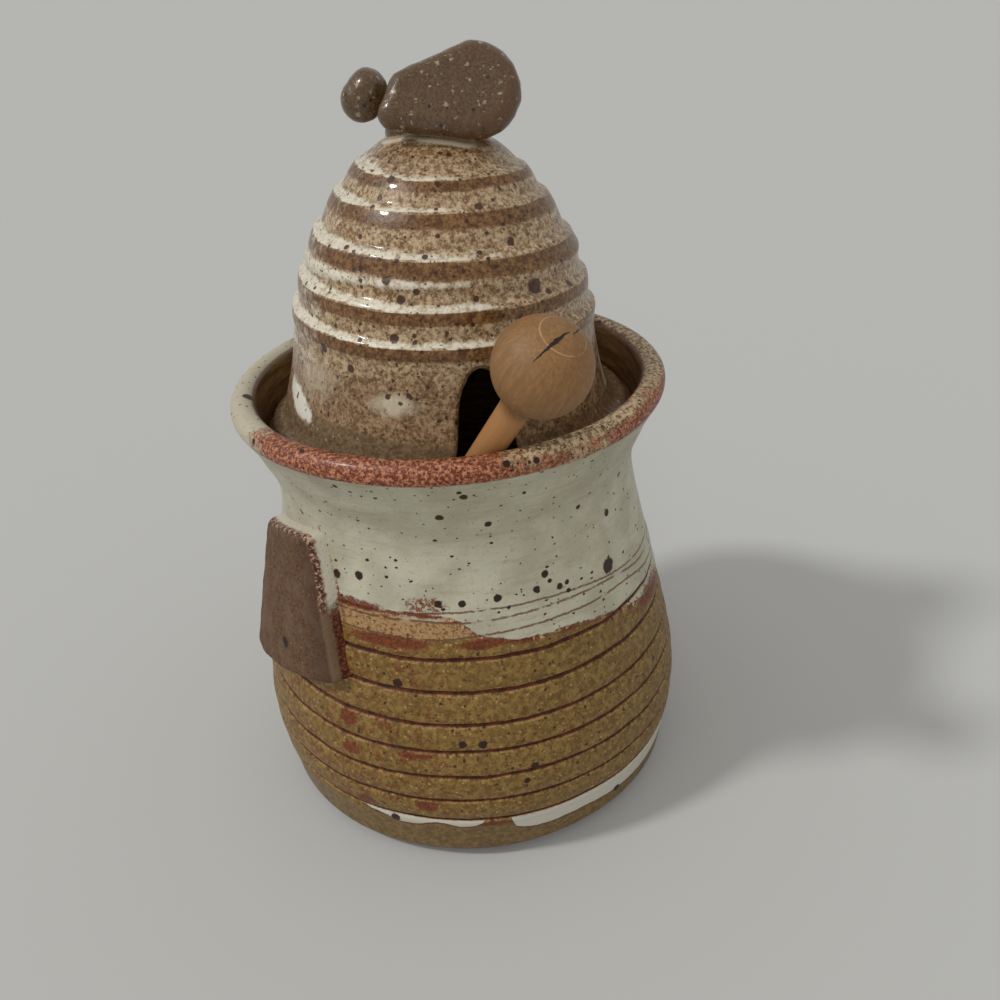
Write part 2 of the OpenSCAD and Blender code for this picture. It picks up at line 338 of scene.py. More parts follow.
def after_modifiers(piece):
    """The mesh as the modifiers leave it."""
    return bpy.data.meshes.new_from_object(piece.evaluated_get(bpy.context.evaluated_depsgraph_get()))


def round_off(mesh):
    """Shades every face smoothly."""
    for face in mesh.polygons:
        face.use_smooth = True


def ring_faces(rings, count):
    """Four-sided faces between rings of points that were laid one after the other."""
    sides = [(ring * count + i, ring * count + (i + 1) % count) for ring in range(rings) for i in range(count)]
    return [(*low, *high[::-1]) for low, high in zip(sides, sides[count:])]


def fire(name, tree, outline, sizes):
    """Runs a form's tree on its outline, and returns the plain mesh as a piece."""
    maker = bpy.data.objects.new(name + "_maker", outline)
    scene.collection.objects.link(maker)
    modifier = maker.modifiers.new("form", "NODES")
    modifier.node_group = tree.owner
    for socket in tree.owner.interface.items_tree:
        if socket.in_out == "INPUT" and socket.name in sizes:
            modifier[socket.identifier] = sizes[socket.name]
    mesh = after_modifiers(maker)
    bpy.data.objects.remove(maker)
    face_outwards(mesh)
    return as_piece(name, mesh)


def as_piece(name, mesh):
    mesh.name = name
    piece = bpy.data.objects.new(name, mesh)
    scene.collection.objects.link(piece)
    return piece


def tell(piece):
    box = np.array([v.co for v in piece.data.vertices])
    size = (box.max(0) - box.min(0)) / MM
    faces = sum(len(p.vertices) - 2 for p in piece.data.polygons)
    print(piece.name, "is", size.round(1), "mm, with", faces, "triangles")


# %% [markdown]
# The pot: a flat foot with a bevel, a round belly, a shoulder drawn in to a waist, and a mouth that opens to a
# rolled lip. Inside the mouth a ledge carries the lid. One groove falls round the lower wall like the thread of
# a screw. The outline gives every height its number of turns, so the spacing is as uneven as the hand's was.

# %% Outline of the pot
LIP_R, LIP_Z, BEAD, POT_WALL, GROOVE_STEP = 50.85, 111.2, 3.15, 5, 7.7
side_points = [(55, 4), (57.4, 28), (51.4, 60), (45.8, 88), (49.4, 101.8), (53.73, 109.92)]
pot_outside = smooth_line(side_points, 0.5)
inside_points = [(q[0] - POT_WALL, q[1]) for q in evenly(pot_outside[::-1], 4) if 15 < q[1] < 86]
pot_line = np.vstack([
    evenly([(0, 1.2), (40, 0.9), (44.5, 0.1)], 6),
    evenly([(46, 0), (51.3, 0), (52.6, 0.7), (54.6, 3.2)], 0.9),
    pot_outside,
    bow((LIP_R, LIP_Z), BEAD, -22, 186),
    evenly([(47.4, 109.5), (46.4, 103), (45.9, 102.1), (45.2, 101.8), (43.1, 101.8), (42.5, 101.5), (42.2, 100)], 0.9),
    evenly([(41.7, 96), (40.8, 88), *inside_points], 4),
    bow((43.6, 14), 8, -5, -88, 2.5),
    evenly([(38, 6), (0, 6)], 7),
])
groove_fronts = [69.9, 61.6, 53.3, 44.8, 37.6, 30.3, 22.8, 15.6, 8]
turn_at = np.interp(pot_line[:, 1], groove_fronts[::-1], np.arange(len(groove_fronts))[::-1])
number = np.arange(len(pot_line))
ON_BEVEL = 14  # the point on the foot's bevel where the outside begins; it ends below the lip
is_outside = (number > ON_BEVEL) & (number < ON_BEVEL + len(pot_outside))
groove_share = is_outside * np.interp(pot_line[:, 1], [12.5, 14, 63.5, 66], [0, 1, 1, 0])
print("the pot's outline has", len(pot_line), "points")

# %% Tree of the pot
POT_SIZES = {"Sides": 288, "Groove depth": 0.75 * MM, "Groove width": 0.62 * MM, "Groove step": GROOVE_STEP * MM,
             "Band swell": 0.28 * MM, "Unevenness": 0.45 * MM, "Unevenness size": 32.0 * MM}
pot_tree = new_form("grooved pot", POT_SIZES)


def grow_pot(tree):
    grid, angle, radius, height, point_value = turn_outline(tree)
    given = tree.given
    here = on_wheel(tree, angle, radius, height)
    round_share = (angle - FRONT) / math.tau
    jitter = unevenness(tree, here, 9 * MM) * 0.05
    turns = point_value("turn") - round_share + jitter
    part = abs(tree.math("FRACT", turns + 0.5) - 0.5)
    away = part * given["Groove step"]
    cut = rise(away, given["Groove width"] * 1.5, 0.0)
    cut = cut ** 1.6 * point_value("groove")
    swell = tree.math("SINE", part * math.pi) * point_value("groove")
    hand = unevenness(tree, here, given["Unevenness size"]) * given["Unevenness"]
    radius = radius - cut * given["Groove depth"]
    radius = radius + swell * given["Band swell"]
    radius = radius + hand * rise(radius, 0.0, 0.02)
    geometry = keep_value(tree, grid, "groove", cut)
    geometry = keep_value(tree, geometry, "outside", point_value("outside"))
    close_form(tree, geometry, on_wheel(tree, angle, radius, height), materials["pot_glaze"])


grow_pot(pot_tree)
pot_outline = outline_mesh("pot outline", pot_line, turn=turn_at, groove=groove_share, outside=is_outside * 1.0)
pot = fire("thrown_pot", pot_tree, pot_outline, POT_SIZES)
tell(pot)

# %% [markdown]
# The lid is thrown as a dome with a flat flange. The fingers left a spiral of steps: seen from above, the wall
# steps out, turns down over a crest, falls straight, and slopes on to the next step. The white glaze pooled on
# each step, and ran thin over each crest. The dome leans a little on its flange.

# %% Outline of the lid
DOME_Z, DOME_H, DOME_R, LID_WALL, FLANGE_R = 106, 65.6, 40.8, 4.4, 44.8
dome_points = [(0, 65.6), (8.9, 64.6), (19.4, 56.8), (29.0, 43.3), (34.7, 27.6), (37.9, 11.8), (40.2, 3.4)]
dome_outside = smooth_line([(r, z + DOME_Z) for r, z in dome_points], 0.42)
across, up = (DOME_R - LID_WALL) / DOME_R, (DOME_H - LID_WALL) / DOME_H
dome_inside = smooth_line([(r * across, z * up + DOME_Z) for r, z in dome_points[::-1]], 3)
flange = [(41.2, 106.9), (42.2, 106.2), (43.7, 106), (44.6, 105.5), (FLANGE_R, 104.4), (44.7, 102.6), (44, 102),
          (37, 102), (36.4, 102.6)]
lid_line = np.vstack([dome_outside, evenly(flange, 0.9), dome_inside])
crest_fronts = [171.0, 163.9, 158.3, 149.8, 139.9, 132.7, 124.5]
crest_turn = np.interp(lid_line[:, 1], crest_fronts[::-1], np.arange(len(crest_fronts))[::-1])
on_dome = np.arange(len(lid_line)) < len(dome_outside)
crest_share = on_dome * np.interp(lid_line[:, 1], [125, 131, 165, 170], [0, 1, 0.8, 0])
small_crest = on_dome * np.exp(-(((lid_line[:, 1] - 145.2) / 1.3) ** 2))
print("the lid's outline has", len(lid_line), "points")

# %% Tree of the lid
LID_SIZES = {"Sides": 288, "Crest height": 1.25 * MM, "Lean": math.radians(2.3),
             "Lean start": 103.0 * MM, "Lean end": 112.0 * MM, "Shift": -0.6 * MM, "Unevenness": 0.35 * MM,
             "Unevenness size": 26.0 * MM}
lid_tree = new_form("beehive lid", LID_SIZES)


def grow_lid(tree):
    grid, angle, radius, height, point_value = turn_outline(tree)
    given = tree.given
    here = on_wheel(tree, angle, radius, height)
    from_front = angle - FRONT
    round_share = from_front / math.tau - tree.math("SINE", from_front) * 0.1
    jitter = unevenness(tree, here, 14 * MM) * 0.06
    turns = point_value("turn") - round_share + jitter
    part = tree.math("FRACT", turns)
    fall = rise(part, 0.0, 0.85, 1.0, 0.0) ** 0.8
    step = rise(part, 0.8, 1.0) ** 1.2
    wave = tree.math("MAXIMUM", fall, step) * point_value("crest")
    wave = wave + point_value("small_crest") * 0.45
    hand = unevenness(tree, here, given["Unevenness size"]) * given["Unevenness"]
    radius = radius + wave * given["Crest height"]
    radius = radius + hand * rise(radius, 0.0, 0.02)
    pool = rise(part, 0.72, 0.98)
    thin = rise(part, 0.0, 0.04) * rise(part, 0.55, 0.25)
    share = point_value("crest")
    pool = tree.math("MAXIMUM", pool * share, point_value("small_crest") * 0.7)
    geometry = keep_value(tree, grid, "pool", pool)
    geometry = keep_value(tree, geometry, "thin", thin * share)
    upright = on_wheel(tree, angle, radius, height)
    lean = given["Lean"] * rise(height, given["Lean start"], given["Lean end"])
    centre = tree.bring(0.0, 0.0, DOME_Z * MM)
    turn = {"Vector": upright, "Center": centre, "Angle": lean}
    leaning = tree.read("ShaderNodeVectorRotate", turn, rotation_type="Y_AXIS")
    shift = given["Shift"] * rise(height, given["Lean start"], given["Lean end"])
    close_form(tree, geometry, tree.vector("ADD", leaning, tree.bring(shift, 0.0, 0.0)), materials["lid_glaze"])


grow_lid(lid_tree)
lid_outline = outline_mesh("lid outline", lid_line, turn=crest_turn, crest=crest_share, small_crest=small_crest)
lid = fire("beehive_lid", lid_tree, lid_outline, LID_SIZES)
tell(lid)

# %% [markdown]
# The notch for the dipper was cut out of the leather-hard dome, and its edge wiped round with a wet finger. A
# straight cutter would leave a knife edge. This one flares where it passes the outer and the inner face of the
# wall, so that the Boolean leaves a round edge by itself.

# %% The notch
NOTCH_TURN = math.radians(10)
notch_right = [(8.7, 98), (8.7, 103.6), (7.9, 107.4), (7.45, 110), (7.0, 113.5), (6.35, 117.5), (5.4, 121.5),
               (4.2, 124.4), (2.6, 126.4), (0.7, 127.1)]
notch_left = [(0.7, 127.1), (-1.2, 126.4), (-2.7, 124.4), (-4.0, 121.5), (-4.95, 117.5), (-5.6, 113.5), (-6.3, 110),
              (-7.2, 107.4), (-8.7, 103.6), (-8.7, 98)]
notch_line = np.vstack([smooth_line(notch_right, 1.0), smooth_line(notch_left, 1.0)[1:], [(-4, 98), (4, 98)]])


def wall_radius(height, line):
    order = np.argsort(line[:, 1])
    return float(np.interp(height, line[order, 1], line[order, 0]))


def notch_cutter():
    """A closed mesh through the wall, wider at both faces of it."""
    ahead, behind = np.roll(notch_line, -1, 0), np.roll(notch_line, 1, 0)
    along = ahead - behind
    along /= np.linalg.norm(along, axis=1)[:, None]
    outward = np.stack([along[:, 1], -along[:, 0]], 1)
    steps = [("out", t, w) for t, w in ((-5, 3.2), (-0.6, 1.5), (0, 1.05), (0.3, 0.66), (0.7, 0.3), (1.3, 0))]
    steps += [("in", t, w) for t, w in ((-1.1, 0), (-0.5, 0.25), (0, 0.8), (4, 3))]
    points, count = [], len(notch_line)
    for face, depth, wider in steps:
        for place, side in zip(notch_line, outward):
            x, z = place + side * wider
            outer = max(wall_radius(z, dome_outside), FLANGE_R if z < 106.3 else 0)
            inner = wall_radius(max(z, DOME_Z), dome_inside)
            radius = outer if face == "out" else inner
            points.append(Vector((x, -math.sqrt(radius**2 - x**2) + depth, z)) * MM)
    faces = ring_faces(len(steps), count) + [tuple(range(count))[::-1],
                                             tuple(range((len(steps) - 1) * count, len(steps) * count))]
    mesh = bpy.data.meshes.new("notch cutter")
    mesh.from_pydata(points, [], faces)
    mesh.transform(Matrix.Rotation(NOTCH_TURN, 4, "Z"))
    face_outwards(mesh)
    mesh.materials.append(materials["lid_glaze"])
    return as_piece("notch_cutter", mesh)


def cut_away(piece, cutter):
    """Takes the cutter out of the piece, and keeps the piece's own material."""
    modifier = piece.modifiers.new("cut", "BOOLEAN")
    modifier.object, modifier.solver, modifier.operation = cutter, "EXACT", "DIFFERENCE"
    piece.data = after_modifiers(piece)
    piece.modifiers.clear()
    bpy.data.objects.remove(cutter)
    round_off(piece.data)


cut_away(lid, notch_cutter())
print("after the cut the lid carries", [a.name for a in lid.data.attributes if a.data_type == "FLOAT"])
tell(lid)

# %% [markdown]
# The bee is four lumps of clay: a body, two flat wings that lean on each other like a roof, and a small head.
# Fingers made them, so no edge is straight. Each lump starts as balls that are wrapped in one skin, like clay
# pressed over them. A fine remesh makes the skin even, smoothing rounds it, and soft noise gives the dents.

# %% The bee's place
crown = Matrix.Translation((LID_SIZES["Shift"], 0, DOME_Z * MM)) @ Matrix.Rotation(LID_SIZES["Lean"], 4, "Y")
chest = crown @ Matrix.Translation((-4.5 * MM, 0, 70.4 * MM)) @ Matrix.Rotation(math.radians(3), 4, "Y")


def clay_lump(name, balls, place, dents=0.3, grain=7.0, rounds=6):
    """One skin over balls (x, y, z, radius) in millimetres, rounded and dented."""
    shape = bmesh.new()
    for x, y, z, radius in balls:
        at = Matrix.Translation(Vector((x, y, z)) * MM)
        bmesh.ops.create_icosphere(shape, subdivisions=3, radius=radius * MM, matrix=at)
    hull = bmesh.ops.convex_hull(shape, input=shape.verts[:])
    inner = [v for v in hull["geom_interior"] + hull["geom_unused"] if isinstance(v, bmesh.types.BMVert)]
    bmesh.ops.delete(shape, geom=list({v for v in inner if v.is_valid}), context="VERTS")
    mesh = bpy.data.meshes.new(name)
    shape.to_mesh(mesh)
    shape.free()
    mesh.transform(place)
    piece = as_piece(name, mesh)
    remesh = piece.modifiers.new("even skin", "REMESH")
    remesh.mode, remesh.voxel_size = "VOXEL", 0.42 * MM
    smooth = piece.modifiers.new("rounding", "SMOOTH")
    smooth.factor, smooth.iterations = 0.5, rounds
    piece.data = after_modifiers(piece)
    piece.modifiers.clear()
    face_outwards(piece.data)
    normals = [v.normal.copy() for v in piece.data.vertices]
    for v, normal in zip(piece.data.vertices, normals):
        v.co += normal * noise.noise(v.co / (grain * MM)) * dents * MM
        v.co += normal * noise.noise(v.co / (grain * 0.3 * MM)) * dents * 0.25 * MM
    round_off(piece.data)
    piece.data.materials.append(materials["bee_glaze"])
    tell(piece)
    return piece


ROOF_SLOPE, WING_OUT, WING_UP, BALL_R = 32, 6.2, 3.8, 3.5


def wing_balls(side, neck, fan, wide, lift):
    """A flat drop: two balls at the neck, and a fan of balls round the broad end."""
    slope = Matrix.Rotation(math.radians(ROOF_SLOPE * side), 4, "X")
    angles = [math.radians(t) for t in range(-90, 91, 20)]
    local = [*neck, *((fan + wide * math.cos(t), lift - wide * math.sin(t)) for t in angles)]
    return [(*(slope @ Vector((x, 0, z)) + Vector((0, side * WING_OUT, WING_UP))), BALL_R) for x, z in local]


bee_body = clay_lump("clay_bee_body", [(0, 0, 0, 6.4), (14.5, 0, 2.2, 8.6), (-1.5, -1.0, -6.0, 5.0)], chest)
near_balls = wing_balls(-1, [(-2.2, -0.2), (-4.4, -5.4)], 12.1, 7.5, 0.0)
far_balls = wing_balls(1, [(-1.0, -1.0), (-1.0, -3.2)], 13.4, 6.4, -0.3)
near_wing = clay_lump("clay_near_wing", near_balls, chest, dents=0.45)
far_wing = clay_lump("clay_far_wing", far_balls, chest, dents=0.45)
bee_head = clay_lump("clay_bee_head", [(-11.2, 0, 0.47, 4.7), (-10.0, 0, 2.35, 4.7)], chest, grain=5.0)


# %% [markdown]
# The clay tag is a slab with four sides, pressed on the left front while soft, so it bends with the wall. It is
# made ring by ring: rings climb the slab's edge, turn over it, and shrink to the middle of the face. Every ring
# point is laid on the round wall at the slab's turn. The points keep how far they lie across and up the slab.

# %% The clay tag
TAG_TURN, TAG_AZIMUTH, TAG_Z, TAG_T = math.radians(12.5), math.radians(-58.6), 67.8, 4.6
tag_corners = [(-24.0, -18.5), (18.0, -18.5), (15.0, 18.5), (-9.0, 18.5)]


def tag_edge(spacing=0.7, corner=1.8):
    """The slab's edge with rounded corners, a little uneven, as one closed line."""
    line = []
    for i, here in enumerate(tag_corners):
        here, before, after = (np.array(tag_corners[j % 4], float) for j in (i, i - 1, i + 1))
        a = here + (before - here) / np.linalg.norm(before - here) * corner
        b = here + (after - here) / np.linalg.norm(after - here) * corner
        line += [(1 - t) ** 2 * a + 2 * t * (1 - t) * here + t * t * b for t in np.linspace(0, 1, 5)]
    line = evenly(np.vstack([line, line[:1]]), spacing)[:-1]
    return np.array([p + 0.35 * noise.noise(Vector((p[0] / 9, p[1] / 9, 3.0))) for p in line])


def on_wall(x, z, proud):
    """A point of the slab's own plane, turned, and laid on the pot's wall at that height."""
    across = x * math.cos(TAG_TURN) - z * math.sin(TAG_TURN)
    height = TAG_Z + x * math.sin(TAG_TURN) + z * math.cos(TAG_TURN)
    radius = wall_radius(height, pot_outside) + proud
    place = Vector((across, -math.sqrt(max(radius**2 - across**2, 1)), height)) * MM
    return Matrix.Rotation(TAG_AZIMUTH, 3, "Z") @ place


def make_tag():
    edge = tag_edge()
    middle, count = edge.mean(0), len(edge)
    rings = [(0, -1.2), (0, 0.2), (0, 1.3), (0, 2.4), (0.05, 3.3), (0.3, 4.0), (0.75, 4.4), (1.4, 4.6)]
    rings += [(1.4 + inset, 4.6) for inset in np.linspace(0.7, 15.5, 22)]
    points, values = [], {"tag_across": [], "tag_up": [], "tag_out": []}

    def lay(p, proud):
        dent = 0.28 * noise.noise(Vector((p[0] / 6, p[1] / 6, 7.0)))
        dent += 0.1 * noise.noise(Vector((p[0] / 2, p[1] / 2, 1.0)))
        points.append(on_wall(*p, proud + dent * min(1, max(0, proud - 2))))
        values["tag_across"].append(p[0] / 21)
        values["tag_up"].append(p[1] / 18.5)
        values["tag_out"].append(min(1, max(0, proud / TAG_T)))

    for inset, proud in rings:
        share = 1 - inset / 17
        for p in edge:
            lay(middle + (p - middle) * share, proud)
    lay(middle, TAG_T)
    last = (len(rings) - 1) * count
    faces = ring_faces(len(rings), count) + [(last + i, last + (i + 1) % count, last + count) for i in range(count)]
    faces.append(tuple(range(count))[::-1])
    mesh = bpy.data.meshes.new("tag")
    mesh.from_pydata(points, [], faces)
    for label, numbers in values.items():
        keep_number(mesh, label, numbers)
    face_outwards(mesh)
    round_off(mesh)
    mesh.materials.append(materials["bare_clay"])
    return as_piece("pressed_tag", mesh)


tag = make_tag()
tell(tag)

# %% [markdown]
# The dipper is turned from one rod of pale wood on a lathe: a head with slots that hold the honey, a thin
# stick, and a ball. The slots repeat at one step, and the same turning tree makes the whole length. Each point
# keeps its place in the rod, because the grain runs along it, and the rod is then leant into the pot.

# %% The dipper
head_centre = Vector((-40.9642, 5.97603, 16.5))
rod_line = Vector((0.409173, -0.414092, 0.813084)).normalized()
lean_matrix = (Matrix.Translation(head_centre * MM) @ Matrix.Rotation(math.atan2(rod_line.y, rod_line.x), 4, "Z")
               @ Matrix.Rotation(math.acos(rod_line.z), 4, "Y"))
SLOTS, SLOT_STEP, SLOT_W, SLOT_DEEP, HEAD_R = 6, 4.4, 2.2, 4.0, 10.0
KNOB_Z, KNOB_R, STICK_R = 145, 10.3, 3.05


def dipper_line():
    line = [bow((0, 0), HEAD_R, -90, -20, 1.2)]
    deep = HEAD_R - SLOT_DEEP
    slot = [(HEAD_R - 0.45, 0, -0.1), (HEAD_R - 0.7, 0, 0.05), (deep + 0.3, 0, 0.1), (deep, 0, 0.4), (deep, 1, -0.4),
            (deep + 0.3, 1, -0.1), (HEAD_R - 0.7, 1, -0.05), (HEAD_R - 0.45, 1, 0.1), (HEAD_R - 0.1, 1, 0.35),
            (HEAD_R, 1, 0.8), (HEAD_R, 1, 1.5), (HEAD_R - 0.1, 1, 1.9)]
    for i in range(SLOTS):
        low = -3.2 + i * SLOT_STEP
        line.append([(radius, low + SLOT_W * above + more) for radius, above, more in slot])
    turn = np.linspace(0.28, 1, 12)
    shoulder = np.stack([STICK_R + (HEAD_R - STICK_R) * np.cos(turn * math.pi / 2), 20 + 9 * turn], 1)
    line += [shoulder, evenly([(3.08, 31), (3.4, 131)], 2.0)]
    line.append([(3.5, 132.3), (3.75, 133.4), (4.2, 134.5), (4.8, 135.4), (5.5, 136.2)])
    line += [bow((0, KNOB_Z), KNOB_R, -57, 62, 0.5), bow((0, KNOB_Z), KNOB_R, 63, 90, 0.3)]
    return np.vstack(line)


WOOD_SIZES = {"Sides": 96}
wood_tree = new_form("turned wood", WOOD_SIZES)


def grow_wood(tree):
    grid, angle, radius, height, point_value = turn_outline(tree)
    place = on_wheel(tree, angle, radius, height)
    x, y, z = tree.split(place)
    for label, value in (("rod_x", x), ("rod_y", y), ("rod_z", z)):
        grid = keep_value(tree, grid, label, value)
    close_form(tree, grid, place, materials["dipper_wood"])


grow_wood(wood_tree)
dipper = fire("turned_dipper", wood_tree, outline_mesh("dipper outline", dipper_line()), WOOD_SIZES)
dipper.data.transform(lean_matrix)
tell(dipper)

# %% [markdown]
# A finish is built on places in the frame, in millimetres, so that a pattern has its real size and lies where
# it lies on the pot. These helpers give noise, round specks that lie one to a cell, patches at an angle and
# height on the round wall, and the last step that joins colour, gloss and relief.


# %% Finish helpers
def colour(red, green, blue):
    """A colour as seen on a screen, turned into the linear numbers that a shader takes."""
    parts = (part / 255 for part in (red, green, blue))
    return tuple(c / 12.92 if c <= 0.04045 else ((c + 0.055) / 1.055) ** 2.4 for c in parts)


def mix(share, *pair):
    """The first colour where the share is 0 and the second where it is 1; three numbers are a screen colour."""
    first, second = (colour(*value) if isinstance(value, tuple) else value for value in pair)
    return share.tree.read("ShaderNodeMix", {0: share, 6: first, 7: second}, 2, data_type="RGBA")


def paint(base, *layers):
    """Lays one colour after the other over the base; a layer is its share and its colour."""
    for share, over in layers:
        base = mix(share, base, over)
    return base


class Finish(Tree):
    def __init__(self, name):
        material = materials[name]
        material.use_nodes = True
        super().__init__(material.node_tree)
        self.name = name
        self.shader = self.nodes["Principled BSDF"]
        where = self.read("ShaderNodeTexCoord", output="Object")
        self.place = self.vector("SCALE", where, Scale=1 / MM)
        self.x, self.y, self.z = self.split(self.place)
        self.turn = self.math("ARCTAN2", self.y, self.x)
        self.full_turn = self.math("FRACT", self.turn / math.tau + 1.0)

    def value(self, label):
        return self.read("ShaderNodeAttribute", output="Fac", attribute_name=label)

    def noise(self, size, detail=3.0, rough=0.55, stretch=(1, 1, 1), seed=0.0, place=None):
        """Soft noise about 0.5; size is its grain in millimetres, stretch makes it longer along an axis."""
        at = self.vector("MULTIPLY", place or self.place, tuple(1 / s for s in stretch))
        at = self.vector("ADD", at, (seed, seed * 1.7, seed * 0.6))
        sockets = {"Vector": at, "Scale": 1 / size, "Detail": detail, "Roughness": rough}
        return self.read("ShaderNodeTexNoise", sockets)

    def specks(self, cell, size, share, seed=0.0, soft=0.35, ragged=0.25, stretch=(1, 1, 1)):
        """Round dots: one in some of the cells, up to size millimetres in radius."""
        wobble = self.read("ShaderNodeTexNoise", {"Vector": self.place, "Scale": 1.4 / size, "Detail": 1.0},
                           output="Color")
        wobble = self.vector("SCALE", self.vector("SUBTRACT", wobble, (0.5, 0.5, 0.5)), Scale=ragged * size * 4)
        at = self.vector("ADD", self.place, wobble)
        at = self.vector("MULTIPLY", self.vector("ADD", at, (seed, seed, seed)), tuple(1 / s for s in stretch))
        cells = self.add("ShaderNodeTexVoronoi", {"Vector": at, "Scale": 1 / cell, "Randomness": 1.0}).outputs
        distance, luck = Value(self, cells["Distance"]), self.split(Value(self, cells["Color"]))
        radius = (luck[1] * 0.7 + 0.3) * (size / cell)
        inside = rise(distance, radius, radius * (1 - soft))
        return inside * self.math("LESS_THAN", luck[0], share)

    def spots(self, places, ragged=0.3):
        """Single round spots at (x, y, z, radius) in millimetres."""
        wobble = (self.noise(0.9, 2.0) - 0.5) * (ragged * 2)
        away = (self.vector("DISTANCE", self.place, spot[:3]) / spot[3] for spot in places)
        return highest(0.0, *(rise(a + wobble, 1.1, 0.8) for a in away))

    def around(self, degrees):
        """The angle round the axis from a direction, in radians, from -pi to pi."""
        return self.math("WRAP", self.turn - math.radians(degrees), math.pi, -math.pi)

    def patch(self, degrees, height, half_width, half_height, radius=52, tilt=0.0, ragged=0.8, soft=0.5, grain=3.0):
        """An uneven patch on the round wall; sizes in millimetres."""
        along = self.around(degrees) * radius
        above = self.z - height - along * tilt
        away = self.vector("LENGTH", self.bring(along / half_width, above / half_height, 0.0))
        edge = (self.noise(grain, 5.0, 0.65, seed=degrees) - 0.5) * (ragged * 2)
        return rise(away + edge, 1 + soft / 2, 1 - soft / 2)

    def border(self, stops):
        """A height in millimetres at each angle round the axis; stops are (degrees, height)."""
        node = self.add("ShaderNodeFloatCurve", {"Value": self.full_turn})
        curve = node.mapping.curves[0]
        for i, (degrees, height) in enumerate(stops):
            point = curve.points[i] if i < 2 else curve.points.new(degrees / 360, height / 120)
            point.location = (degrees / 360, height / 120)
            point.handle_type = "AUTO_CLAMPED"
        node.mapping.update()
        return Value(self, node.outputs[0]) * 120.0

    def line_at(self, height, width, breaks=0.45, grain=5.0, seed=0.0):
        """A thin turned line at a height, broken where the noise is low."""
        wobble = (self.noise(1.6, 4.0, 0.7, seed=seed) - 0.5) * 0.9
        away = abs(self.z - height + wobble)
        shown = rise(self.noise(grain, 3.0, 0.6, seed=seed + 2), breaks - 0.06, breaks + 0.08)
        return rise(away, width, width * 0.4) * shown

    def add_up(self, *terms):
        """The sum of the terms; a term is a value, or a value and its weight."""
        out = 0.0
        for term in terms:
            value, weight = term if isinstance(term, tuple) else (term, 1.0)
            out = self.math("MULTIPLY_ADD", value, weight, out)
        return out

    def finish(self, base, roughness, relief, depth, ior=1.5, coat=0.0, coat_roughness=0.1):
        """Joins the parts; relief is a height from 0 to 1, and depth its size in millimetres."""
        bump = self.read("ShaderNodeBump", {"Strength": 1.0, "Distance": depth * MM, "Height": relief})
        sockets = {"Base Color": base, "Roughness": roughness, "IOR": ior, "Coat Weight": coat,
                   "Coat Roughness": coat_roughness, "Normal": bump}
        for name, value in sockets.items():
            self.put(self.shader.inputs[name], value)
        print(self.name, "has", len(self.nodes), "nodes")


# %% [markdown]
# The pot was dipped twice. The lower wall has a thin khaki glaze over clay with iron in it, so it is never one
# colour: grains of olive and straw lie side by side, and rust breaks through on the left and beside the grooves.
# One noise would look like a print, so grain, blotches and specks of several sizes are laid over each other.

# %% Glaze of the pot, lower wall
glaze = Finish("pot_glaze")
groove = glaze.value("groove")
fine = glaze.noise(0.75, 5.0, 0.75)
grain = glaze.noise(1.5, 5.0, 0.7, seed=1.0)
blotch = glaze.noise(3.4, 4.0, 0.6, seed=6.0)
cloud = glaze.noise(9.0, 3.0, 0.5)
streak = glaze.noise(1.4, 4.0, 0.6, stretch=(9, 9, 1))

rust = mix(rise(fine, 0.42, 0.6), (74, 22, 2), (122, 56, 20))
khaki = paint(
    mix(rise(grain, 0.4, 0.6), (98, 69, 25), (134, 106, 52)),
    (rise(blotch, 0.46, 0.64, 0.0, 0.6), (108, 82, 34)),
    (rise(fine, 0.44, 0.34, 0.0, 0.7), (72, 44, 12)),
    (rise(fine, 0.58, 0.68, 0.0, 0.6), (166, 138, 84)),
)
left_side = rise(abs(glaze.around(228)), 0.75, 0.3)
khaki = paint(
    khaki,
    (left_side * rise(blotch, 0.5, 0.36) * 0.55, rust),
    (glaze.specks(1.2, 0.4, 0.5, 3.0, ragged=0.5) * 0.6, (180, 154, 104)),
    (glaze.specks(1.9, 0.55, 0.5, 9.0) * 0.9, (44, 20, 2)),
    (glaze.specks(1.1, 0.38, 0.5, 19.0) * 0.8, (56, 28, 4)),
)
low = rise(glaze.add_up(glaze.z, (streak, 3.0)), 16.0, 13.0)
low_glaze = mix(rise(grain, 0.4, 0.62), (94, 72, 37), (120, 96, 58))
khaki = mix(low * 0.8, khaki, low_glaze)

# %% [markdown]
# The neck has a thick pale glaze, and its lower edge falls from left to right. A float curve holds the height of
# that edge at every angle, and noise makes it ragged. Where the glaze runs thin the iron shows: as a rusty edge,
# as speckled cream on the left, and as fine turned lines above the edge.

# %% Glaze of the pot, neck and border
pale = paint(
    mix(rise(cloud, 0.35, 0.65), (165, 160, 139), (179, 176, 155)),
    (rise(streak, 0.5, 0.7, 0.0, 0.4), (148, 136, 108)),
    (rise(fine, 0.52, 0.7, 0.0, 0.45), (134, 122, 96)),
)
edge_z = glaze.border([(0, 55), (60, 61), (130, 68), (190, 72.6), (228, 73.2), (254, 73.2), (262, 72.6), (267, 71.2),
                       (271, 68.0), (277, 66.1), (283, 64.9), (298, 64.2), (307, 62.9), (321, 59.5), (339, 56),
                       (360, 55)])
ragged = glaze.add_up((glaze.noise(1.8, 5.0, 0.7, stretch=(2.5, 2.5, 1)), 2.2), fine, (1.0, -1.6))
above = glaze.add_up(glaze.z, (edge_z, -1.0), ragged)
is_pale = rise(above, -0.15, 0.25)
body = mix(is_pale, khaki, pale)

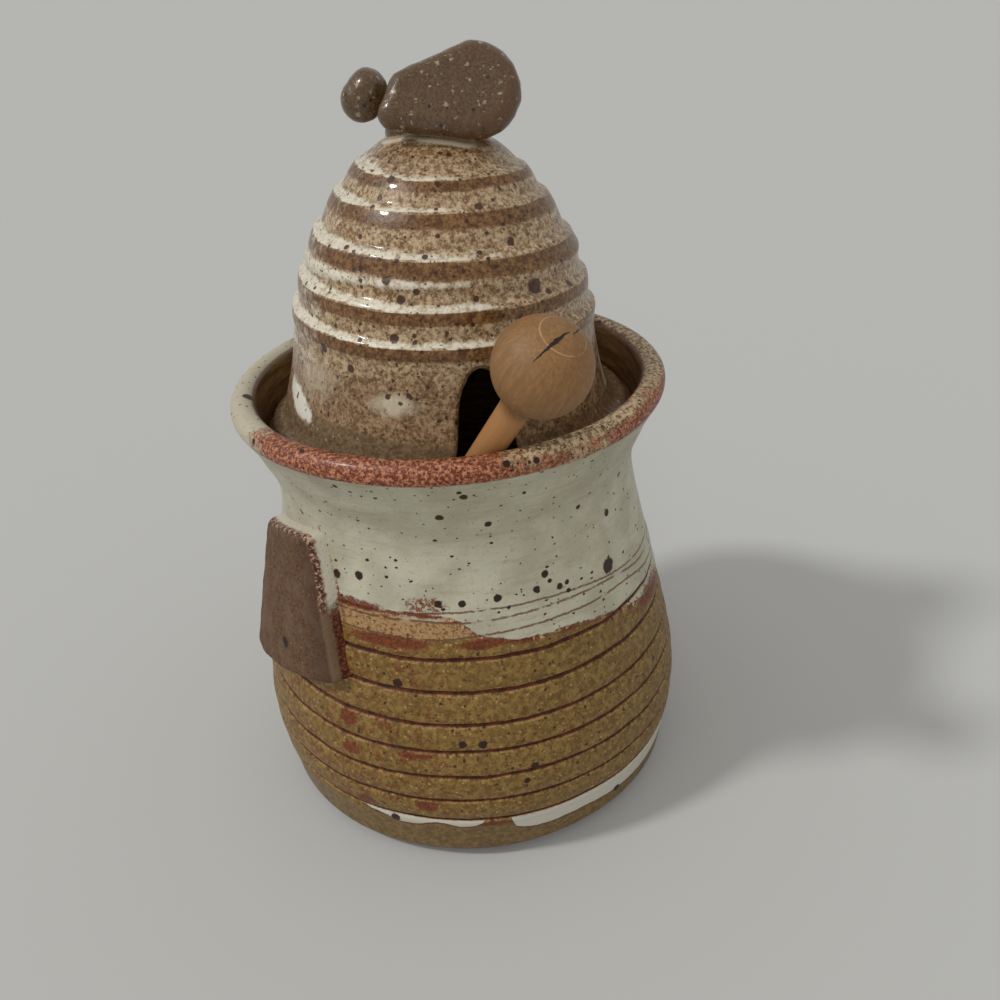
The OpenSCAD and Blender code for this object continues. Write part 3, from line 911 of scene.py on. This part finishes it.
thin_glaze = paint(
    mix(rise(fine, 0.38, 0.52), (112, 56, 22), (164, 134, 92)),
    (rise(grain, 0.56, 0.64), (92, 48, 18)),
)
milky = rise(glaze.z, 71.2, 71.8) * rise(glaze.around(247), 0.0, 0.12)
thin_glaze = mix(milky * 0.85, thin_glaze, (178, 170, 150))
thin_zone = rise(glaze.z, 66.8, 67.4) * rise(above, 0.4, -0.2) * rise(abs(glaze.around(248)), 0.52, 0.44)
body = mix(thin_zone * 0.85, body, thin_glaze)
edge_band = rise(above, -1.3, -0.5) * rise(above, 0.5, 0.0)
edge_rust = mix(rise(grain, 0.5, 0.6), rust, (184, 148, 116))
body = mix(edge_band * rise(glaze.noise(5, 3.0), 0.34, 0.5), body, edge_rust)

line_a = glaze.border([(0, 68), (190, 72.5), (246, 72.8), (265, 73.5), (284, 73.3), (296, 72.8), (307, 71.9),
                       (315, 70.8), (336, 68.6), (360, 68)])
line_b = glaze.border([(0, 66), (190, 71), (254, 71.5), (272, 70.9), (286, 71), (310, 70.4), (336, 66.6), (360, 66)])
line_c = glaze.border([(0, 62), (190, 67), (240, 67.4), (260, 67), (277, 67.6), (319, 66.6), (336, 64), (360, 62)])
fine_lines = highest(glaze.line_at(line_a, 0.3, 0.36, seed=1.0), glaze.line_at(line_b, 0.34, 0.42, seed=5.0),
                     glaze.line_at(line_c, 0.32, 0.4, seed=9.0))
body = mix(fine_lines * rise(glaze.z, 60, 62) * 0.85, body, mix(rise(blotch, 0.42, 0.5), (92, 72, 52), (106, 54, 28)))

strokes = highest(glaze.patch(236, 73.4, 7.5, 1.2, ragged=0.9, grain=1.2),
                  glaze.patch(247, 65.8, 10.5, 1.5, ragged=0.5, grain=0.9),
                  glaze.patch(272.5, 65.4, 5.5, 1.2, ragged=0.5, grain=0.9),
                  glaze.patch(234.5, 43.2, 2.6, 2.4, ragged=0.9, grain=1.0),
                  glaze.patch(253, 36.6, 4.0, 0.9, ragged=0.8, grain=0.8),
                  glaze.patch(235.5, 34.8, 2.6, 1.6, ragged=1.5, grain=0.9),
                  glaze.patch(228, 79, 4.6, 2.2, tilt=-2.2, ragged=0.7, grain=1.2) * rise(fine, 0.46, 0.52),
                  glaze.patch(255, 20.8, 2.6, 1.9, ragged=0.6, grain=1.0),
                  glaze.patch(238.5, 18.6, 2.6, 1.3, ragged=1.2, grain=0.9),
                  glaze.patch(271, 13.8, 4.0, 0.9, ragged=0.7, grain=1.2),
                  glaze.patch(335, 56.5, 9.0, 2.4, ragged=1.4, grain=1.0),
                  glaze.patch(258, 75.2, 5.2, 2.0, ragged=0.8, grain=0.9) * rise(fine, 0.47, 0.53))
body = mix(strokes * rise(fine, 0.36, 0.46, 0.4, 0.95), body, rust)

white_low = glaze.border([(0, 18), (231, 18), (237, 15.6), (243, 14.3), (247, 12.6), (251, 12.9), (257, 14.5),
                          (264, 12.9), (268, 13.9), (271, 17), (274.5, 17), (277, 11.2), (286, 9.2), (295, 9.3),
                          (305, 8.6), (315, 8.2), (330, 9), (344, 12), (352, 18), (360, 18)])
last_groove = glaze.add_up((1.0, 15.2), (glaze.around(270), -GROOVE_STEP / math.tau))
wavy = (glaze.noise(2.5, 3.0) - 0.5) * 0.9
over_low = glaze.add_up(glaze.z, (white_low, -1.0), wavy)
under_groove = last_groove - glaze.z
white = rise(over_low, -0.1, 0.15) * rise(under_groove, -0.1, 0.1)
white_rim = rise(over_low, -0.8, -0.3) * rise(over_low, 0.2, -0.1) * rise(under_groove, 0.4, 1.0)
body = paint(body, (white_rim * 0.8, (88, 48, 26)), (white, (186, 180, 166)))
foot = rise(glaze.add_up(glaze.z, (cloud, 2.0)), 4.4, 3.4)
body = mix(foot, body, mix(fine, (58, 34, 22), (92, 60, 42)))
# Painted highlight: a light khaki line along the edges of the groove, where the light catches its lip.
groove_edge_painted_highlight = rise(groove, 0.02, 0.08) * rise(grain, 0.46, 0.54) * 0.35
body = mix(groove_edge_painted_highlight, body, (170, 138, 84))
groove_dark = mix(rise(grain, 0.42, 0.6), (50, 16, 0), (90, 36, 4))
body = mix(rise(glaze.add_up(groove, (fine, 0.6), (1.0, -0.3)), 0.2, 0.55), body, groove_dark)

# %% [markdown]
# Iron in the clay melted up through the glaze as round dark spots. Specks of two sizes are strewn by rule. The
# larger ones are the face of this pot, so each has its own place, and a soft noise keeps them from being discs.

# %% Iron spots and the lip
iron_spots = [(34.4, -34.1, 73.1, 2.1), (-4.8, -47.9, 98.9, 1.0), (5.7, -46.3, 95.3, 0.9), (0.8, -50.9, 105.2, 1.0),
              (-0.1, -51.8, 106.8, 0.65), (18.1, -43.6, 78.8, 0.95), (19.1, -43.6, 76.8, 0.6),
              (15.8, -45.1, 75.8, 0.9), (21.5, -43.0, 74.6, 0.85), (23.3, -42.0, 74.9, 0.65),
              (23.6, -42.4, 72.8, 0.65), (6.6, -47.4, 75.9, 1.0), (-30.4, -36.0, 79.2, 1.2),
              (-24.9, -39.7, 80.5, 1.15), (-7.1, -47.3, 75.8, 0.9), (-18.4, -48.8, 55.5, 1.3),
              (-4.5, -55.2, 40.1, 1.2), (0.3, -55.7, 39.8, 1.25), (12.5, -55.7, 31.3, 1.1), (10.3, -56.5, 27.4, 0.9),
              (-23.4, -51.4, 14.0, 1.4), (34.6, -43.6, 8.4, 1.2), (46.7, -30.1, 39.9, 0.8), (-1.6, -47.9, 75.6, 0.9),
              (34.9, -30.0, 85.6, 1.0), (38.8, -24.9, 92.9, 0.8), (27.0, -37.2, 92.2, 0.7),
              (-26.5, -44.7, 107.0, 0.7), (10.3, -52.4, 113.0, 0.85), (16.7, -51.1, 112.5, 0.85),
              (-32.8, -40.3, 114.1, 0.6), (-48.7, -7.5, 113.9, 1.6), (-44.7, -29.8, 112.4, 0.7),
              (41.9, 24.4, 113.3, 1.3)]
big_spots = glaze.spots(iron_spots)
strewn = highest(glaze.specks(2.4, 0.66, 0.55, 21.0, ragged=0.2, stretch=(1, 1, 0.7)),
                 glaze.specks(1.7, 0.32, 0.45, 5.0, ragged=0.2))
body = mix(highest(big_spots, strewn * is_pale), body, (42, 16, 1))

radius = glaze.vector("LENGTH", glaze.bring(glaze.x, glaze.y, 0.0))
not_wall = 1.0 - glaze.value("outside")
inside = rise(not_wall, 0.4, 0.6) * rise(glaze.z, 4.0, 5.0) * rise(radius, 48.3, 48.0)
speckle = glaze.noise(1.1, 5.0, 0.8, seed=8.0)
lip = mix(rise(speckle, 0.43, 0.57), (100, 68, 34), (186, 164, 130))
lip_left = mix(rise(speckle, 0.55, 0.75), (176, 168, 146), (122, 98, 70))
lip = mix(rise(abs(glaze.around(182)), 0.75, 0.5), lip, lip_left)
rust_share = glaze.border([(0, 45), (40, 20), (120, 5), (190, 0), (205, 14), (214, 42), (226, 80), (262, 90),
                           (278, 70), (290, 50), (302, 50), (314, 80), (330, 90), (345, 70), (360, 45)]) / 100.0
top_right = rise(glaze.z, 112.6, 113.8) * rise(glaze.around(270), 0.1, 0.5) * 0.5
rubbed = glaze.add_up(rust_share, (speckle, 1.1), (blotch, 1.2), (cloud, 0.4), (top_right, -1.0), (1.0, -1.35))
lip_rust = mix(rise(fine, 0.44, 0.61), (98, 36, 12), (182, 124, 90))
lip = paint(
    lip,
    (rise(rubbed, 0.36, 0.7), lip_rust),
    (glaze.specks(1.3, 0.5, 0.5, 41.0), (54, 20, 4)),
    (big_spots, (42, 16, 1)),
    (rise(radius, 48.9, 48.5) * 0.75, (92, 52, 26)),
)
body = mix(rise(glaze.add_up(glaze.z, (speckle, 0.8)), 109.6, 110.2), body, lip)

inner = paint(
    mix(rise(streak, 0.4, 0.6), (84, 56, 26), (116, 86, 50)),
    (rise(grain, 0.55, 0.7, 0.0, 0.7), (74, 46, 20)),
)
ledge_ring = highest(glaze.line_at(103.4, 0.5, 0.2, seed=3.0), glaze.line_at(107.6, 0.4, 0.25, seed=4.0))
inner = mix(ledge_ring * 0.7, inner, (66, 38, 16))
body = mix(inside, body, inner)

rough = glaze.add_up((is_pale, -0.05), (groove, 0.25), (foot, 0.3), (fine, 0.15), (1.0, 0.42))
relief = glaze.add_up((grain, 0.5), (fine, 0.3), (big_spots, -0.25), (fine_lines, -0.6), (is_pale, 0.7),
                      (blotch, 0.5), (white, 0.7), (strokes, -0.2))
glaze.finish(body, rough, relief, 0.26, ior=1.42, coat=0.08, coat_roughness=0.12)

# %% [markdown]
# The lid's glaze is glossier. It pooled white in every notch, whitest on the left, and ends sharply at the crest
# below. Over the crest it ran thin and brown, and in between cream and brown lie mixed in grains. The foot of
# the dome and the flange were wiped, so there the clay is dull, with light grog.

# %% Glaze of the lid
hive = Finish("lid_glaze")
grains = hive.noise(0.8, 5.0, 0.75)
coarse = hive.noise(1.7, 5.0, 0.65, seed=2.0)
cloud = hive.noise(10.0, 3.0, 0.5)
mottle = hive.add_up((grains, 0.6), (coarse, 0.4))
on_left = rise(abs(hive.around(218)), 1.75, 0.6, 0.3, 1.0)
far_left = rise(abs(hive.around(196)), 0.75, 0.25) * rise(hive.z, 118, 126)
pool = hive.add_up((hive.value("pool") * on_left, 1.2), (coarse, 0.9), (cloud, 0.6), (far_left, 0.5), (1.0, -0.85))
thin = hive.add_up(hive.value("thin"), (coarse, 0.8), (1.0, -0.4))
brown = mix(rise(mottle, 0.41, 0.62), (74, 42, 14), (132, 96, 56))
mixed = mix(rise(mottle, 0.41, 0.6), (104, 74, 40), (185, 161, 128))
cream = mix(rise(mottle, 0.38, 0.54), (164, 146, 116), (208, 201, 182))
low_wall = rise(hive.add_up(hive.z, (cloud, 6.0)), 133.0, 126.0)
lid_base = paint(
    mixed,
    (low_wall * 0.6, brown),
    (rise(hive.z, 163, 169) * 0.35, brown),
    (rise(thin, 0.35, 0.75), brown),
    (rise(pool, 0.3, 0.85), cream),
)
foot_white = hive.patch(205, 115.8, 7.0, 2.9, radius=39, tilt=-0.35, ragged=0.5, soft=0.5, grain=3.0)
soft_white = highest(hive.patch(250, 120.6, 4.4, 2.2, radius=37, ragged=0.7, soft=1.4) * 0.65,
                     hive.patch(350, 112.5, 2.0, 6.0, radius=40, ragged=0.5, soft=0.9) * 0.7,
                     hive.patch(215, 123.5, 6.0, 4.0, radius=38, ragged=1.2, soft=1.6) * 0.4)
lid_base = paint(lid_base, (soft_white, (204, 192, 168)), (foot_white, (214, 210, 196)))
hive_spots = [(-8.2, -16.3, 164.0, 0.95), (1.3, -19.6, 162.8, 1.0), (-11.1, -17.5, 160.7, 0.65),
              (-19.2, -20.2, 151.4, 0.8), (-16.2, -24.7, 147.9, 1.05), (-11.1, -28.9, 146.2, 1.1),
              (-8.5, -30.7, 142.4, 1.05), (-17.4, -28.7, 137.5, 0.8), (-10.8, -32.7, 134.8, 1.1),
              (-26.4, -23.5, 130.8, 1.3), (-2.7, -28.6, 150.3, 0.8), (-14.8, 0.5, 166.1, 0.8),
              (4.3, -13.4, 167.7, 0.6), (20.1, -25.6, 141.5, 1.9), (15.9, -24.2, 151.2, 1.15),
              (19.7, -22.5, 148.3, 0.8), (9.5, -21.9, 158.4, 1.05), (28.6, -18.1, 138.9, 1.0),
              (23.2, -24.1, 139.4, 0.9), (8.8, -27.7, 150.4, 0.7), (7.2, -31.5, 141.6, 0.7),
              (17.2, -18.6, 156.9, 0.55), (-5.1, -31.2, 144.1, 0.8), (-21.1, -29.3, 127.5, 1.0),
              (-13.5, -34.5, 122.4, 0.65), (-8.9, -35.9, 122.8, 0.6)]
iron = highest(hive.spots(hive_spots), hive.specks(1.9, 0.68, 0.5, 13.0, ragged=0.2),
               hive.specks(1.3, 0.32, 0.5, 3.0))
lid_base = mix(iron * 0.92, lid_base, (52, 20, 1))
radius = hive.vector("LENGTH", hive.bring(hive.x, hive.y, 0.0))
wiped_z = hive.border([(0, 108.5), (60, 108.5), (150, 112), (190, 114.6), (215, 114.9), (232, 114.2), (252, 112.9),
                       (262, 112.1), (275, 111.4), (300, 110.6), (320, 110.4), (338, 109.4), (360, 108.5)])
bare = highest(rise(hive.add_up(wiped_z, (hive.z, -1.0), (coarse, 1.2)), 0.3, 0.9) * rise(radius, 36.8, 37.2),
               rise(hive.z, 102.6, 102.2))
bare = bare * (1.0 - foot_white)
flange_clay = paint(
    mix(rise(mottle, 0.4, 0.62), (88, 66, 42), (126, 104, 76)),
    (rise(hive.around(270), 0.15, 0.7, 0.0, 0.6), brown),
    (hive.specks(1.5, 0.4, 0.5, 31.0) * 0.7, (172, 156, 128)),
)
lid_base = mix(bare, lid_base, flange_clay)
touch = hive.value("touch")
lid_base = mix(rise(hive.add_up(touch, (grains, 0.5)), 0.72, 0.92), lid_base, (206, 190, 164))
rough = hive.add_up((bare, 0.4), (grains, 0.12), (1.0, 0.26))
relief = hive.add_up((coarse, 0.5), (grains, 0.35), (iron, -0.25), (hive.noise(3.5, 2.0), 0.7), (touch, 0.6))
hive.finish(lid_base, rough, relief, 0.2, ior=1.42, coat=0.3, coat_roughness=0.06)

# %% [markdown]
# The bee has the same clay under a thin clear glaze: grey-brown with cream and dark specks, and a cream line in
# each crease. Its bulges on the right and lower side turn amber: partly glaze that breaks over an edge, partly
# painted shade on the side away from the light. A shader can't see where a lump bulges or touches its neighbour,
# so both are measured on the mesh: the bulge from how the neighbours of a point lie against its normal, the touch
# from the distance to the nearest point of the other piece.


# %% Bulge and touch
def keep_bulge(piece, passes=10, span=0.1):
    """Stores 1 where the surface bulges out, 0.5 where it is flat, and 0 in a crease."""
    mesh = piece.data
    co = np.array([v.co for v in mesh.vertices])
    normal = np.array([v.normal for v in mesh.vertices])
    ends = np.array([e.vertices for e in mesh.edges])
    a, b = np.concatenate([ends[:, 0], ends[:, 1]]), np.concatenate([ends[:, 1], ends[:, 0]])
    gap = co[b] - co[a]
    bend = (gap * normal[a]).sum(1) / np.maximum((gap**2).sum(1), 1e-12) * MM
    count = np.maximum(np.bincount(a, minlength=len(co)), 1)
    value = -np.bincount(a, bend, len(co)) / count
    for _ in range(passes):
        value = (value + np.bincount(a, value[b], len(co)) / count) / 2
    keep_number(mesh, "bulge", np.clip(0.5 + value / (2 * span), 0, 1))


def keep_touch(piece, others, reach):
    """Stores 1 where the piece touches one of the others, and 0 from reach millimetres on."""
    tree = KDTree(sum(len(other.data.vertices) for other in others))
    for i, place in enumerate(v.co for other in others for v in other.data.vertices):
        tree.insert(place, i)
    tree.balance()
    near = [1 - min(1, tree.find(v.co)[2] / MM / reach) for v in piece.data.vertices]
    keep_number(piece.data, "touch", near)
    print(piece.name, "touches its neighbours at", sum(n > 0.7 for n in near), "points")


bee_lumps = (bee_body, near_wing, far_wing, bee_head)
for piece in bee_lumps:
    keep_bulge(piece)
for piece in (lid, *bee_lumps):
    keep_touch(piece, [other for other in (lid, *bee_lumps) if other is not piece], 3.2 if piece is lid else 2.0)

# %% Glaze of the bee
bee = Finish("bee_glaze")
grains = bee.noise(0.6, 5.0, 0.7)
bulge = bee.value("bulge") + (bee.noise(2.5, 3.0) - 0.5) * 0.25
bee_base = mix(rise(grains, 0.36, 0.66), (68, 46, 25), (94, 72, 46))
# Amber over the bulges, only on the right and lower side: partly glaze broken over an edge, partly painted shade.
amber_rim_and_painted_shade = rise(bulge, 0.62, 0.95) * rise(bee.add_up(bee.x, (bee.z, -0.9)), -158, -142)
bee_base = mix(amber_rim_and_painted_shade * 0.75, bee_base, (84, 50, 15))
cream_specks = highest(bee.specks(1.6, 0.66, 0.5, 2.0, ragged=0.5), bee.specks(1.0, 0.26, 0.45, 8.0, ragged=0.4))
bee_base = paint(bee_base, (cream_specks * 0.8, (160, 140, 110)), (bee.specks(1.8, 0.55, 0.4, 17.0), (28, 12, 2)))
crease = rise(bee.add_up(bee.value("touch"), (grains, 0.5)), 0.85, 1.1)
bee_base = mix(crease, bee_base, (178, 152, 118))
relief = bee.add_up((grains, 0.3), (bee.noise(1.6, 3.0), 0.5), (bee.noise(5.0, 2.0), 0.8))
bee.finish(bee_base, bee.add_up((grains, 0.12), (1.0, 0.22)), relief, 0.22, coat=0.4, coat_roughness=0.08)

# %% [markdown]
# The tag is bare fired clay, reddish brown and dull, with pits and light grog. Glaze from the neck caught on its
# upper edge and ran down its right side with a rusty rim, and below that the side is dark with iron. The tag's
# points carry how far across, up and out they lie, so the finish follows the slab however it is turned.

# %% Clay of the tag
clay = Finish("bare_clay")
grains = clay.noise(0.8, 5.0, 0.7)
cloud = clay.noise(5.0, 3.0, 0.5)
wander = (clay.noise(1.2, 4.0, 0.65) - 0.5) * 0.5
sideways, upward, proud = clay.value("tag_across"), clay.value("tag_up"), clay.value("tag_out")
clay_base = paint(
    mix(rise(grains, 0.38, 0.62), (72, 44, 22), (100, 70, 44)),
    (rise(cloud, 0.45, 0.65, 0.0, 0.6), (102, 80, 58)),
    (clay.specks(1.4, 0.4, 0.5, 6.0) * 0.5, (142, 110, 78)),
)
# Pits are a shallow dent in the relief, and their dark colour is painted shade inside them.
pits_and_painted_shade = clay.specks(2.2, 0.4, 0.35, 12.0)
clay_base = paint(clay_base, (pits_and_painted_shade, (40, 18, 6)), (rise(sideways + wander, 0.35, 0.75, 0.0, 0.6), (62, 38, 22)))
off_face = rise(proud + wander * 0.2, 0.97, 0.86)
right = rise(sideways, 0.3, 0.45)
top = rise(upward, 0.86, 0.94)
high = highest(top, right * rise(upward + wander, -0.1, 0.15))
side_rust = mix(rise(grains, 0.45, 0.6), (58, 18, 3), (120, 62, 28))
side_low = mix(rise(proud + wander, 0.55, 0.4), (104, 80, 58), side_rust)
clay_base = mix(off_face * right, clay_base, side_low)
milk = mix(rise(grains, 0.6, 0.7), (192, 185, 166), (150, 120, 92))
rim = rise(proud + wander * 0.9, 0.48, 0.68)
side_high = mix(rim, milk, mix(rise(grains, 0.48, 0.58), side_rust, (170, 140, 112)))
clay_base = paint(
    clay_base,
    (off_face * high, side_high),
    # One pit in the face, with no dent in the surface: a dark spot of painted shade.
    (clay.spots([(*(v / MM for v in on_wall(1.0, -10.3, TAG_T)), 1.5)]), (32, 14, 6)),
)
glazed = off_face * high
relief = clay.add_up((grains, 0.4), (clay.noise(1.4, 3.0), 0.6), (pits_and_painted_shade, -0.7), (glazed, 0.4))
clay.finish(clay_base, clay.add_up((glazed, -0.4), (grains, 0.1), (1.0, 0.72)), relief, 0.4)

# %% [markdown]
# The wood is plain and pale, sanded and not oiled. Its grain is read in the rod's own place, so the lines run
# along the stick and close into rings on top of the ball, where the turner's last cut left a fine ring. The
# ball dried and cracked across that ring. A crack is a cut through the ball's middle, so its line is where the
# ball meets a plane, and only a part of that line is shown.

# %% Wood of the dipper
wood = Finish("dipper_wood")
rod = wood.vector("SCALE", wood.bring(wood.value("rod_x"), wood.value("rod_y"), wood.value("rod_z")), Scale=1 / MM)
rod_x, rod_y, rod_z = wood.split(rod)
warp = wood.noise(14, 2.0, 0.5, place=rod)
ring_at = wood.vector("LENGTH", wood.bring(rod_x + 26.0, rod_y + 9.0, 0.0))
rings = wood.math("SINE", wood.math("MULTIPLY_ADD", ring_at, 2.2, warp * 9.0))
fibre = wood.noise(0.6, 4.0, 0.6, stretch=(1, 1, 12), place=rod)
flecks = wood.noise(0.5, 3.0, 0.5, stretch=(1, 1, 3), seed=7.0, place=rod)
stain = wood.noise(6, 4.0, 0.6, place=rod, seed=3.0)
timber = paint(
    mix(rise(fibre, 0.35, 0.68), (124, 87, 47), (140, 103, 62)),
    (rise(rings, 0.2, 1.0, 0.0, 0.25), (116, 80, 42)),
    (rise(flecks, 0.6, 0.72, 0.0, 0.35), (106, 74, 38)),
    (rise(stain, 0.45, 0.75, 0.0, 0.4), (122, 92, 58)),
    (rise(rod_z, 134, 130, 0.0, 0.7), (174, 124, 76)),
)
knob_top = rise(rod_z, 148, 150)
from_pole = wood.vector("LENGTH", wood.bring(rod_x, rod_y, 0.0))
ring_line = rise(abs(from_pole - 4.9), 0.2, 0.05) * knob_top * rise(stain, 0.3, 0.5)
timber = mix(ring_line * 0.6, timber, (186, 152, 108))
ball = wood.vector("SUBTRACT", wood.place, (18.366, -54.067, 134.397))
wiggle = (wood.noise(1.8, 4.0, 0.65) - 0.5) * 0.9


def crack(plane, along, start, end, width):
    """A crack from start to end, measured in millimetres along a direction; widest past its middle."""
    off = abs(wood.vector("DOT_PRODUCT", ball, plane) + wiggle)
    run = wood.vector("DOT_PRODUCT", ball, along)
    widest = start + (end - start) * 0.65
    half = wood.math("MINIMUM", rise(run, start, widest), rise(run, end, widest)) * width
    open_here = rise(off - half, 0.06, -0.06)
    return open_here * rise(half, 0.02, 0.05) * rise(rod_z, 145, 146)


cracks = highest(crack((-0.607, 0.509, 0.607), (0.79, 0.453, 0.411), -5.6, 6.4, 0.36),
                 crack((-0.645, 0.364, 0.673), (0.432, 0.899, -0.072), -3.0, 2.9, 0.15))
timber = mix(cracks, timber, (30, 14, 4))
relief = wood.add_up((fibre, 0.5), (flecks, -0.3), (ring_line, -0.6), (cracks, -3.0))
wood.finish(timber, wood.add_up((fibre, 0.1), (1.0, 0.52)), relief, 0.12)

# %% [markdown]
# The floor is plain and pale, and far larger than the pot, so that the camera never sees its edge. It is part
# of the studio and not of the object.

# %% Floor
floor_mesh = bpy.data.meshes.new("floor")
floor_mesh.from_pydata([(-20, -20, 0), (20, -20, 0), (20, 20, 0), (-20, 20, 0)], [], [(0, 1, 2, 3)])
floor = as_piece("floor", floor_mesh)
paper = bpy.data.materials.new("paper")
paper.use_nodes = True
dull = paper.node_tree.nodes["Principled BSDF"].inputs
dull["Base Color"].default_value, dull["Roughness"].default_value = (*colour(181, 181, 178), 1), 0.9
floor_mesh.materials.append(paper)

# %% [markdown]
# Last, every piece stands for its solid, which is hidden, and rides on its body.

# %% Ride and finish
for piece, node, body, slot in (
    (pot, "pot", "pot", "pot_glaze"), (tag, "clay_tag", "pot", "bare_clay"), (lid, "lid", "lid", "lid_glaze"),
    (bee_body, "bee_body", "lid", "bee_glaze"), (near_wing, "bee_left_wing", "lid", "bee_glaze"),
    (far_wing, "bee_right_wing", "lid", "bee_glaze"), (bee_head, "bee_head", "lid", "bee_glaze"),
    (dipper, "dipper", "dipper", "dipper_wood"),
):
    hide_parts(node)
    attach(piece, body)
